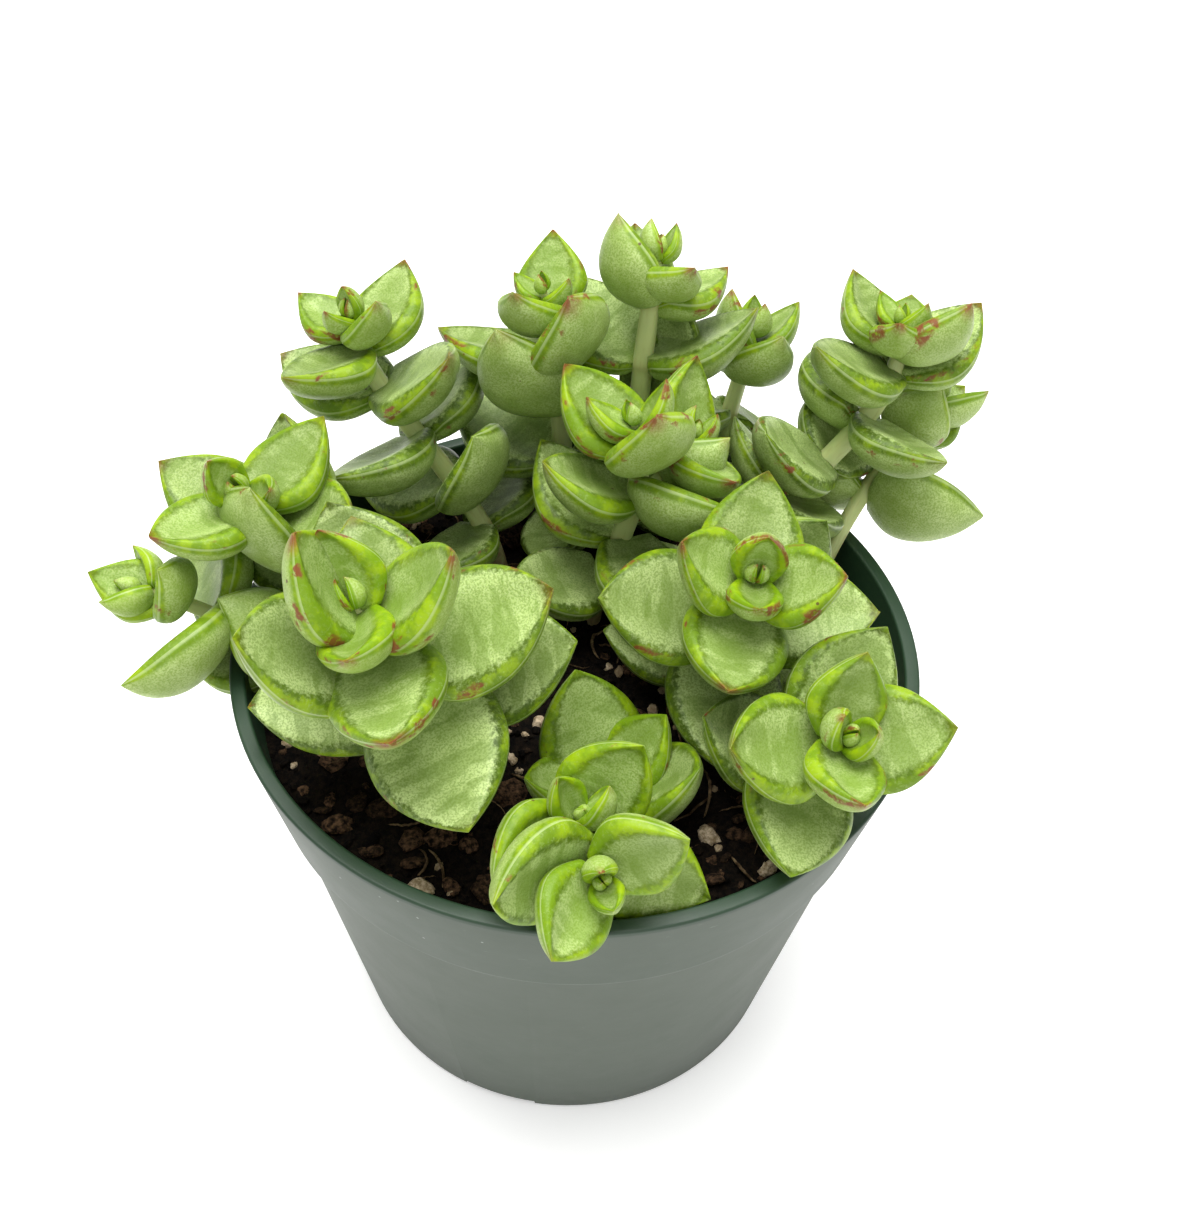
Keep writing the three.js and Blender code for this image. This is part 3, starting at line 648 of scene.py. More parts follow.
@dataclass(frozen=True)
class PotFinish:
    """Injection-moulded plastic, deep green, with a pale painted sheen on the wall, a painted highlight along
    the ledge and a few scuffs.
    """

    green: Colour = (0.012, 0.036, 0.015)
    # Painted sheen: the pale grey-green stands for the bright floor's reflection on the wall.
    bloom_and_sheen: Colour = (0.074, 0.092, 0.068)
    # The pale scuff colour also paints the highlight along the ledge.
    scuff_and_highlight: Colour = (0.300, 0.330, 0.300)
    rim_step: Pair = (79.2, 78.4)
    cloud: Pattern = (0.045, 4.0, 0.6)
    cloud_bloom_and_sheen: Pair = (0.8, 1.0)
    smudge: Tearing = (0.12, 1.0, 0.02, 0.26)
    smudged_sheen: float = 0.80
    ledge_height: float = 60.5
    collar_step: Pair = (60.3, 60.7)
    collar_sheen: float = 0.72
    # Painted highlight: a pale line along the ledge, where the step catches the light, broken up by noise.
    ledge_highlight_step: Pair = (0.5, 0.1)
    ledge_highlight_break: Pattern = (0.2, 3.0, 0.6)
    ledge_highlight_cover: float = 0.8
    dust_step: Pair = (45.0, 5.0)
    dust_cover: float = 0.07
    scuffed: Pair = (50.0, 66.0)
    scuff_cover: Pair = (0.1, 0.9)
    specks: Pattern = (0.34, 0.16, 0.085)
    scratch_stretch: Pattern = (0.22, 0.22, 2.4)
    scratches: Pattern = (1.0, 3.0, 0.7)
    scratch_step: Pair = (0.70, 0.73)
    scratch_cover: float = 0.5
    gloss: Pattern = (0.09, 4.0, 0.6)
    roughness: Pair = (0.42, 0.58)
    refraction: float = 1.49
    fine: Pattern = (4.0, 3.0, 0.6)
    soft: Pattern = (0.15, 2.0, 0.5)
    fine_height: float = 0.12
    bump_depth: float = 0.25
    bump_strength: float = 0.35

    def material(self, effects: Effects) -> bpy.types.Material:
        """Builds the material on the pot's own coordinates.

        Args:
            effects: The shared node groups.

        Returns:
            The finished material.
        """
        material, graph, shader = new_material("pot_plastic")
        place = graph.millimetres()
        parts = graph.node("SeparateXYZ")
        graph.feed(parts.inputs[0], place)
        height = parts.outputs[2]
        # Painted sheen: the wall is mixed towards a pale grey-green that stands for the floor's reflection.
        bloom_and_sheen = self.sheen_cover(graph, effects, place, height)
        colour = self.with_wear_and_highlight(graph, effects, place, height, graph.blend(bloom_and_sheen, self.green, self.bloom_and_sheen))
        graph.feed(shader.inputs["Base Color"], colour)
        rough = graph.between(graph.noise(place, *self.gloss), *self.roughness)
        graph.feed(shader.inputs["Roughness"], rough)
        shader.inputs["IOR"].default_value = self.refraction
        fine = graph.noise(place, *self.fine)
        soft = graph.noise(place, *self.soft)
        relief = graph.math("MULTIPLY_ADD", fine, self.fine_height, soft)
        graph.bump(shader, relief, self.bump_depth, self.bump_strength)
        return material

    def sheen_cover(self, graph: Graph, effects: Effects, place: Socket, height: Socket) -> Socket:
        """Where the pale painted sheen lies: on the outer wall, thinner on the collar and not on the rim.

        Args:
            graph: The material's graph.
            effects: The shared node groups.
            place: The place on the pot, in millimetres.
            height: The height above the floor, in millimetres.

        Returns:
            The bloom's cover.
        """
        wall = graph.attribute("pot_form")[0]
        cover = graph.times(wall, graph.rise(height, *self.rim_step))
        cover = graph.times(cover, graph.between(graph.noise(place, *self.cloud), *self.cloud_bloom_and_sheen))
        smudge = effects.torn(graph, 0.0, place, *self.smudge)
        cover = graph.times(cover, graph.between(smudge, 1.0, self.smudged_sheen))
        collar = graph.rise(height, *self.collar_step)
        return graph.times(cover, graph.between(collar, 1.0, self.collar_sheen))

    def with_wear_and_highlight(self, graph: Graph, effects: Effects, place: Socket, height: Socket,
                  colour: Socket) -> Socket:
        """Adds a painted highlight along the ledge, dust near the foot, and specks and scratches on the
        collar.

        Args:
            graph: The material's graph.
            effects: The shared node groups.
            place: The place on the pot, in millimetres.
            height: The height above the floor, in millimetres.
            colour: The colour so far.

        Returns:
            The colour with the wear.
        """
        # Painted highlight: a pale line along the ledge, broken up by noise.
        ledge_highlight = graph.math("ABSOLUTE", graph.math("SUBTRACT", height, self.ledge_height))
        ledge_highlight = graph.times(graph.rise(ledge_highlight, *self.ledge_highlight_step), graph.noise(place, *self.ledge_highlight_break))
        colour = graph.blend(graph.times(ledge_highlight, self.ledge_highlight_cover), colour, self.scuff_and_highlight)
        dust = graph.times(graph.rise(height, *self.dust_step), self.dust_cover)
        colour = graph.blend(dust, colour, self.scuff_and_highlight)
        specks = effects.dots(graph, place, *self.specks)
        drawn = graph.noise(graph.stretched(place, self.scratch_stretch), *self.scratches)
        scratches = graph.times(graph.rise(drawn, *self.scratch_step), self.scratch_cover)
        upper = graph.between(graph.rise(height, *self.scuffed), *self.scuff_cover)
        chips = graph.times(graph.math("MAXIMUM", specks, scratches), upper)
        return graph.blend(chips, colour, self.scuff_and_highlight)


@dataclass(frozen=True)
class MixFinish:
    """One kind of matter in the potting mix."""

    name: str
    dark: Colour
    pale: Colour
    scale: float
    roughness: float = 0.95
    bump_depth: float = 0.4
    bump_strength: float = 0.9
    shine: float = 0.12
    grain: Pair = (5.0, 0.7)
    grain_step: Pair = (0.36, 0.70)
    speck_form: Pair = (0.12, 0.22)
    speck_cover: float = 0.5
    relief: Pair = (4.0, 0.7)

    def material(self, effects: Effects) -> bpy.types.Material:
        """Builds the material on the piece's own coordinates.

        Args:
            effects: The shared node groups.

        Returns:
            The finished material.
        """
        material, graph, shader = new_material(self.name)
        place = graph.millimetres()
        tone = graph.rise(graph.noise(place, self.scale, *self.grain), *self.grain_step)
        tone = graph.times(tone, graph.attribute("grain_tint")[0])
        specks = effects.dots(graph, place, self.scale, *self.speck_form)
        tone = graph.math("MAXIMUM", tone, graph.times(specks, self.speck_cover))
        graph.feed(shader.inputs["Base Color"], graph.blend(tone, self.dark, self.pale))
        shader.inputs["Roughness"].default_value = self.roughness
        shader.inputs["Specular IOR Level"].default_value = self.shine
        relief = graph.noise(place, 2.0 * self.scale, *self.relief)
        graph.bump(shader, relief, self.bump_depth, self.bump_strength)
        return material


@dataclass(frozen=True)
class FloorFinish:
    """Plain pale paper under the pot, a little brighter where it is seen."""

    colour: Colour = (0.94, 0.94, 0.93)
    shade: Colour = (0.85, 0.85, 0.85)
    mottle: Pattern = (3.0, 2.0, 0.5)
    mottle_cover: float = 0.02
    roughness: float = 0.9
    glow: float = 0.30

    def material(self) -> bpy.types.Material:
        """Builds the material."""
        material, graph, shader = new_material("studio_paper")
        mottle = graph.noise(graph.node("TexCoord").outputs["Object"], *self.mottle)
        tone = graph.blend(graph.times(mottle, self.mottle_cover), self.colour, self.shade)
        graph.feed(shader.inputs["Base Color"], tone)
        shader.inputs["Roughness"].default_value = self.roughness
        shader.inputs["Emission Color"].default_value = WHITE
        seen = graph.node("LightPath").outputs["Is Camera Ray"]
        graph.feed(shader.inputs["Emission Strength"], graph.times(seen, self.glow))
        return material


# Meshes


def finished_mesh(name: str, body: bmesh.types.BMesh) -> bpy.types.Mesh:
    """Turns a bmesh into a mesh and frees it.

    Args:
        name: The mesh's name.
        body: The bmesh.

    Returns:
        The mesh.
    """
    mesh = bpy.data.meshes.new(name)
    body.to_mesh(mesh)
    body.free()
    return mesh


def ball_shape(around: int, rings: int) -> bpy.types.Mesh:
    """A unit ball of rings and segments, to be drawn out into a leaf, a stem or a fibre."""
    body = bmesh.new()
    bmesh.ops.create_uvsphere(body, u_segments=around, v_segments=rings, radius=1.0)
    return finished_mesh("ball_shape", body)


def lump_shape(level: int) -> bpy.types.Mesh:
    """A unit ball of even triangles, to be roughened into a grain."""
    body = bmesh.new()
    bmesh.ops.create_icosphere(body, subdivisions=level, radius=1.0)
    return finished_mesh("lump_shape", body)


def spun(points: list[tuple[float, float]], segments: int) -> bmesh.types.BMesh:
    """Spins a half outline about the upright axis into a closed shape.

    Args:
        points: Distance from the axis and height of each corner, in millimetres.
        segments: Steps of the full turn.

    Returns:
        The shape, in metres, with its faces pointing outwards.
    """
    body = bmesh.new()
    corners = [body.verts.new((x * MM, 0.0, z * MM)) for x, z in points]
    for first, second in zip(corners, corners[1:]):
        body.edges.new((first, second))
    bmesh.ops.spin(
        body, geom=list(body.verts) + list(body.edges), axis=(0, 0, 1), cent=(0, 0, 0),
        dvec=(0, 0, 0), angle=2 * math.pi, steps=segments, use_merge=True, use_duplicate=False,
    )
    bmesh.ops.remove_doubles(body, verts=body.verts, dist=TINY)
    bmesh.ops.recalc_face_normals(body, faces=body.faces)
    return body


def places_of(mesh: bpy.types.Mesh) -> np.ndarray:
    """The places of a mesh's vertices, one row each."""
    flat = np.empty(3 * len(mesh.vertices))
    mesh.vertices.foreach_get("co", flat)
    return flat.reshape(-1, 3)


def ball_angles(ball: np.ndarray) -> tuple[np.ndarray, np.ndarray, np.ndarray]:
    """Where a unit ball's vertices lie on it.

    Args:
        ball: The vertices.

    Returns:
        Their turn about the axis, their share of the way from pole to pole, and which close an end.
    """
    turn = np.arctan2(ball[:, 1], ball[:, 0])
    polar = np.arccos(np.clip(ball[:, 2], -1.0, 1.0)) / math.pi
    return turn, polar, (polar < TINY) | (polar > 1.0 - TINY)


def set_marks(mesh: bpy.types.Mesh, name: str, rows: np.ndarray) -> None:
    """Stores a vector for each vertex, which materials read by its name."""
    layer = mesh.attributes.new(name, "FLOAT_VECTOR", "POINT")
    layer.data.foreach_set("vector", rows.ravel())


def placed(name: str, data: object) -> bpy.types.Object:
    """Puts a new object into the scene and returns it."""
    made = bpy.data.objects.new(name, data)
    bpy.context.scene.collection.objects.link(made)
    return made


def new_piece(name: str, mesh: bpy.types.Mesh, material: bpy.types.Material,
              smooth: bool) -> bpy.types.Object:
    """Wraps a finished mesh in an object at the origin.

    Args:
        name: The object's name.
        mesh: Its mesh, in metres.
        material: Its finish.
        smooth: Whether its faces are shaded smooth.

    Returns:
        The new object.
    """
    mesh.polygons.foreach_set("use_smooth", [smooth] * len(mesh.polygons))
    mesh.materials.append(material)
    mesh.update()
    return placed(name, mesh)


def hand_over(piece: bpy.types.Object, node: str) -> None:
    """Lets a piece ride on the part and stand for one of its nodes.

    Args:
        piece: The finished piece.
        node: The node that it stands for.
    """
    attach(piece, ROOT_BODY)
    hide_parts(node)
    LOG.info("%s: %d faces for %s", piece.name, len(piece.data.polygons), node)


class Heap:
    """Gathers copies of ready shapes in one mesh, each with its own vertex places and attributes."""

    def __init__(self) -> None:
        """Starts an empty heap."""
        self.body = bmesh.new()
        self.places: list[np.ndarray] = []
        self.marks: dict[str, list[np.ndarray]] = {}

    def add(self, shape: bpy.types.Mesh, places: np.ndarray, **marks: np.ndarray) -> None:
        """Adds a copy of a shape.

        Args:
            shape: The mesh whose faces are copied.
            places: Where its vertices go, in millimetres.
            marks: Vector attributes, one row for each vertex.
        """
        self.body.from_mesh(shape)
        self.places.append(places)
        for key, values in marks.items():
            self.marks.setdefault(key, []).append(values)

    def finish(self, name: str, material: bpy.types.Material, smooth: bool = True) -> bpy.types.Object:
        """Makes the object, in metres.

        Args:
            name: The piece's name.
            material: Its finish.
            smooth: Whether its faces are shaded smooth.

        Returns:
            The new object.
        """
        mesh = finished_mesh(name, self.body)
        mesh.vertices.foreach_set("co", (np.concatenate(self.places) * MM).ravel())
        for key, values in self.marks.items():
            set_marks(mesh, key, np.concatenate(values))
        return new_piece(name, mesh, material, smooth)


def eased(value: np.ndarray, stops: tuple[float, ...], heights: tuple[float, ...]) -> np.ndarray:
    """A smooth curve through given heights.

    Args:
        value: Where the curve is read.
        stops: Rising places of the heights.
        heights: The heights.

    Returns:
        The curve's height at each value.
    """
    places, levels = np.array(stops), np.array(heights)
    slopes = np.gradient(levels, places)
    cell = np.clip(np.searchsorted(places, value, side="right") - 1, 0, len(stops) - 2)
    width = places[cell + 1] - places[cell]
    t = np.clip((value - places[cell]) / width, 0.0, 1.0)
    cubic = (2 * t**3 - 3 * t**2 + 1) * levels[cell] + (t**3 - 2 * t**2 + t) * (slopes[cell] * width)
    return cubic + (3 * t**2 - 2 * t**3) * levels[cell + 1] + (t**3 - t**2) * (slopes[cell + 1] * width)


def wobble(first: float, second: float) -> float:
    """A fixed draw between -1 and 1 for each pair of whole numbers."""
    return math.sin(DRAW_STEPS[0] * first + DRAW_STEPS[1] * second + DRAW_STEPS[2])


def rotation(axis: np.ndarray, angle: float) -> np.ndarray:
    """The matrix that turns about an axis through the origin."""
    return np.array(Matrix.Rotation(angle, 3, Vector(axis)))


# Layout of the plant


@dataclass
class Shoot:
    """One leafy shoot: where it runs, and its pairs of leaves from the bud down.

    A pair holds its drop below the bud, the leaf length, the opening of its two leaves from the
    stem in degrees, and a twist in degrees on top of the usual quarter turn. A foot with a height
    starts on another stem, and one without starts in the mix.
    """

    name: str
    foot: tuple[float, ...]
    bud: tuple[float, float, float]
    lean: tuple[float, float]
    turn: float
    girth: float
    pairs: list[tuple[float, float, float, float, float]]
    depth: float = 5.0
    rise: float = 0.4
    hold: float = 0.35
    arc_steps: int = 200
    nudge: float = 0.0001

    def __post_init__(self) -> None:
        """Works out the four handles of the curve and its length table."""
        start = np.array([*self.foot, MIX_TOP - self.depth][:3])
        end = np.array(self.bud)
        reach = np.linalg.norm(end - start)
        compass, slant = (math.radians(value) for value in self.lean)
        level = math.sin(slant)
        heading = np.array([level * math.cos(compass), level * math.sin(compass), math.cos(slant)])
        upward = np.array([0.0, 0.0, 1.0])
        above_start = start + self.rise * reach * upward
        self.handles = np.array([start, above_start, end - self.hold * reach * heading, end])
        table = self.at(np.linspace(0.0, 1.0, self.arc_steps + 1))
        steps = np.linalg.norm(np.diff(table, axis=0), axis=1)
        self.arc = np.concatenate([[0.0], np.cumsum(steps)])

    def at(self, share: np.ndarray) -> np.ndarray:
        """Places on the curve, one row for each share of its length parameter."""
        t = np.atleast_1d(share)[:, None]
        a, b, c, d = self.handles
        return (1 - t) ** 3 * a + 3 * (1 - t) ** 2 * t * b + 3 * (1 - t) * t**2 * c + t**3 * d

    def tangent(self, share: np.ndarray) -> np.ndarray:
        """Works out directions along the curve.

        Args:
            share: Places on the curve.

        Returns:
            A unit vector for each.
        """
        share = np.atleast_1d(share)
        beyond = self.at(np.clip(share + self.nudge, 0.0, 1.0))
        ahead = beyond - self.at(np.clip(share - self.nudge, 0.0, 1.0))
        return ahead / np.linalg.norm(ahead, axis=1)[:, None]

    def share_at(self, height: np.ndarray) -> np.ndarray:
        """The curve share at a distance along the stem from its foot."""
        return np.interp(height, self.arc, np.linspace(0.0, 1.0, len(self.arc)))

    def cross(self, share: np.ndarray) -> tuple[np.ndarray, np.ndarray]:
        """Works out directions across the curve.

        Args:
            share: Places on the curve.

        Returns:
            Two unit vectors for each: east follows the compass, north is square to it.
        """
        tangent = self.tangent(share)
        east = np.array([1.0, 0.0, 0.0]) - tangent * tangent[:, :1]
        east /= np.linalg.norm(east, axis=1)[:, None]
        return east, np.cross(tangent, east)


def front_shoots() -> list[Shoot]:
    """The shoots on the side that the camera looks at."""
    return [
        Shoot("stem_front_left", (-21, -11.4), (-29, -26.4, 113), (163, 23), 188, 1.0, [
            (0.4, 5, 16, 16, 0), (1.7, 13.5, 84, 20, -2), (3.8, 19, 14, 70, -7), (8, 20.6, 84, 92, 8),
            (12.5, 23.8, 46, 90, 8), (18, 25, 96, 84, 18), (23, 23.4, 100, 88, 2), (31, 20, 92, 88, 12),
        ]),
        Shoot("stem_front_right", (21, 2), (24.5, -12.2, 106.9), (-76, 19), 176, 1.0, [
            (0.3, 4, 14, 14, 0), (1.4, 10, 57, 20, -1), (3.6, 14.5, 59, 58, -4), (7.3, 18, 77, 86, -3),
            (13, 21.3, 86, 97, 7), (22, 24, 92, 80, 6), (31, 18, 94, 90, 0),
        ]),
        Shoot("stem_right_low", (31, -19), (36.5, -34.4, 99.4), (-57, 28), -97, 1.0, [
            (0.3, 3.4, 12, 12, 0), (1.4, 8, 20, 35, -14), (3.4, 13.9, 56, 62, 4), (7, 18.5, 61, 76, 15),
            (13, 20.2, 81, 83, -9), (21, 17, 90, 80, 0),
        ]),
        Shoot("stem_left", (-36, 6.5), (-50.5, 3.8, 104.7), (-118, 22), 242, 1.0, [
            (0.3, 4.5, 16, 16, 0), (1.4, 9.5, 61, 20, 6), (3.6, 16.3, 74, 93, -14), (8, 17, 90, 97, 14),
            (15, 20, 40, 66, -5), (24, 18, 84, 84, 0), (32, 16, 88, 88, 0),
        ]),
    ]


def back_shoots() -> list[Shoot]:
    """The tall shoots along the back and in the middle."""
    return [
        Shoot("stem_back_left", (-13.6, 24.3), (-37.2, 32, 117.3), (-113, 7), 148, 1.0, [
            (0.3, 3.2, 12, 12, 0), (1.4, 6.6, 51, 10, 0), (3.6, 11.5, 81, 53, -4),
            (7.2, 17.6, 77, 80, 2), (15, 20.4, 69, 89, 2), (25, 21, 76, 80, 0), (35, 20, 84, 70, -4),
            (44, 16, 90, 90, 0),
        ]),
        Shoot("stem_back_middle", (-3.4, 31.8), (-7.4, 37.8, 119.5), (158, 13), 66, 1.0, [
            (0.5, 3.5, 17, 17, 0), (2, 6.6, 59, 60, -3), (4.5, 13.6, 55, 58, 4),
            (11.5, 18.7, 83, 63, -3), (20.5, 21, 80, 80, 3), (31, 21, 88, 88, 0), (40, 16, 94, 94, 0),
        ]),
        Shoot("stem_back_right", (9.2, 41.1), (10.6, 43.6, 123.2), (76, 33), 116, 1.0, [
            (0.4, 3.2, 13, 13, 0), (1.5, 6.5, 29, 29, 0), (4, 12.1, 67, 83, -2), (8, 15.7, 67, 80, 7),
            (18.5, 21, 84, 74, 39), (28, 20, 90, 90, 20), (38, 17, 94, 94, 0),
        ]),
        Shoot("stem_middle", (2, 14), (7.2, 15, 112.2), (150, 20), 118, 1.0, [
            (0.5, 4, 18, 18, 0), (2, 9.8, 50, 48, -24), (5, 17.1, 58, 62, 6), (13.5, 17.5, 75, 100, -9),
            (23, 20, 84, 84, 0), (32, 17, 92, 92, 0),
        ]),
        Shoot("stem_right", (28.5, 29), (49.4, 36.4, 117.2), (115, 20), 42, 1.0, [
            (0.3, 3, 22, 22, 0), (1.2, 6.7, 55, 55, -5), (2.6, 11.3, 83, 74, 33),
            (4.8, 15.3, 63, 55, -1), (9, 19, 93, 89, -11), (18, 19.1, 100, 86, -10),
            (28, 20.2, 88, 91, -8), (36, 16, 90, 88, 0),
        ]),
    ]


def low_shoots() -> list[Shoot]:
    """The thinner shoots that lean out low, and the side branches."""
    return [
        Shoot("stem_front", (-5, -31.9), (1.4, -41.2, 89.3), (-73, 21), 228, 0.9, [
            (0.3, 3, 8, 8, 0), (1.3, 8.5, 27, 45, 9), (5, 16.5, 118, 60, 4), (10, 14, 88, 84, -150),
        ]),
        Shoot("stem_front", (-1.7, -35.9, 78.6), (4.3, -52.1, 90.3), (-85, 40), 41, 0.85, [
            (0.3, 3, 10, 10, 0), (1.1, 6.5, 30, 34, -21), (2.8, 13.9, 68, 55, -1),
            (6.5, 17.5, 94, 94, 23),
        ]),
        Shoot("stem_far_left", (-41, -5), (-66.5, -3, 90.7), (184, 66), -20, 0.7, [
            (0.4, 4, 14, 14, 0), (2.2, 8.2, 66, 40, 10), (5, 13, 84, 14, -1), (13, 20.5, 76, 72, 5),
            (25, 17, 60, 60, 0),
        ]),
        Shoot("stem_far_back", (21, 38), (28, 51, 105), (60, 14), 20, 0.85, [
            (0.4, 3.2, 12, 12, 0), (1.5, 6.5, 28, 28, 0), (4, 11, 50, 50, 0), (8, 14, 66, 66, 0),
            (16, 16, 84, 84, 0), (25, 15, 90, 90, 0),
        ]),
        Shoot("stem_far_right", (38, 16), (59, 44, 98), (40, 40), -10, 0.75, [
            (0.4, 3.2, 12, 12, 0), (1.5, 6.5, 28, 28, 0), (4, 12, 50, 50, 0), (9, 15, 66, 66, 0),
            (20, 20, 74, 80, 0),
        ]),
        Shoot("stem_centre_low", (6, -24), (5, -26, 79), (-90, 15), 35, 0.85, [
            (0.3, 3, 12, 12, 0), (1.4, 6.5, 30, 30, 0), (3.2, 14, 60, 62, 0), (6, 19, 84, 84, 0),
        ]),
        Shoot("stem_middle", (6.2, 13.5, 89.4), (17, 20, 106), (20, 10), 85, 0.75, [
            (0.4, 3, 12, 12, 0), (1.4, 6, 26, 26, 0), (3, 14.4, 52, 94, 43), (8, 13.2, 60, 46, -60),
        ]),
    ]


LEAF_LENGTHS = (3.0, 8.0, 14.0, 18.0, 24.0)
WIDTH_RATIOS = (0.66, 0.78, 0.86, 0.86, 0.77)
THICK_RATIOS = (0.46, 0.43, 0.39, 0.36, 0.31)
TAPER_POWERS = (1.7, 1.7, 1.75, 2.0, 2.5)
WIDEST = 0.4
BASE_WIDTH = 0.5
LEAF_CURL = 0.1
LEAF_SEAT = 0.25
BULGE_STOPS = (0.0, 0.15, 0.4, 0.7, 0.9, 1.0)
BULGE_HEIGHTS = (0.55, 0.82, 1.0, 0.84, 0.45, 0.05)
FILL_ALONG = (0.18, 0.36, 0.54, 0.72, 0.9)
FILL_ACROSS = (-0.78, -0.4, 0, 0.4, 0.78)
QUARTER_TURN = 90
ROLL_DEGREES = 5.0
SIZE_VARIETY = 0.04
ROOT_OFFSET = 0.2


def outline(along: np.ndarray, taper: float) -> np.ndarray:
    """Half the width of a leaf along its length, as a share of its widest half width.

    Args:
        along: Places along the leaf, 0 at its root and 1 at its tip.
        taper: How round the outer part is; a higher power gives a shorter tip.

    Returns:
        The shares.
    """
    inner = np.clip(along / WIDEST, 0.0, 1.0)
    outer = np.clip((along - WIDEST) / (1.0 - WIDEST), 0.0, 1.0)
    rising = BASE_WIDTH + (1.0 - BASE_WIDTH) * np.sin(inner * math.pi / 2)
    return np.where(along < WIDEST, rising, 1.0 - outer**taper)


@dataclass
class Leaf:
    """A leaf's place, attitude and size. The attitude's columns run across, along and out of the face."""

    shoot: int
    rank: int
    side: int
    root: np.ndarray
    attitude: np.ndarray
    length: float
    width: float = field(init=False)
    thick: float = field(init=False)
    taper: float = field(init=False)

    def __post_init__(self) -> None:
        """Works out the width, thickness and taper that go with the length."""
        self.width = self.length * float(np.interp(self.length, LEAF_LENGTHS, WIDTH_RATIOS))
        self.thick = self.length * float(np.interp(self.length, LEAF_LENGTHS, THICK_RATIOS))
        self.taper = float(np.interp(self.length, LEAF_LENGTHS, TAPER_POWERS))

    def filling(self) -> tuple[np.ndarray, np.ndarray]:
        """Balls that fill the leaf.

        Returns:
            Their centres in the leaf's own frame, and their radii.
        """
        along, across = (grid.ravel() for grid in np.meshgrid(FILL_ALONG, FILL_ACROSS, indexing="ij"))
        depth = self.thick * np.interp(along, BULGE_STOPS, BULGE_HEIGHTS) * np.sqrt(1 - across**2)
        lift = LEAF_CURL * self.length * along**2 + LEAF_SEAT * self.thick
        side = across * 0.5 * self.width * outline(along, self.taper)
        return np.stack([side, along * self.length, lift - 0.5 * depth], axis=1), 0.5 * depth


def leaves_of(shoots: list[Shoot]) -> list[Leaf]:
    """Sets out every shoot's leaves as they would grow alone.

    Args:
        shoots: The shoots.

    Returns:
        Their leaves in order.
    """
    leaves = []
    for index, shoot in enumerate(shoots):
        for rank, (drop, length, first, second, twist) in enumerate(shoot.pairs):
            share = float(shoot.share_at(shoot.arc[-1] - drop))
            node = shoot.at(share)[0]
            tangent = shoot.tangent(share)[0]
            east, north = (rows[0] for rows in shoot.cross(share))
            for side, opening in enumerate((first, second)):
                compass = math.radians(shoot.turn + twist + QUARTER_TURN * (rank % 2 + 2 * side))
                outward = math.cos(compass) * east + math.sin(compass) * north
                tilt = math.radians(opening)
                along = math.cos(tilt) * tangent + math.sin(tilt) * outward
                face = math.sin(tilt) * tangent - math.cos(tilt) * outward
                roll = math.radians(ROLL_DEGREES) * wobble(index + 1, 2 * rank + side)
                face = rotation(along, roll) @ face
                size = length * (1 + SIZE_VARIETY * wobble(2 * rank + side, index + 1))
                attitude = np.stack([np.cross(along, face), along, face], axis=1)
                leaves.append(Leaf(index, rank, side, node + ROOT_OFFSET * outward, attitude, size))
    return leaves


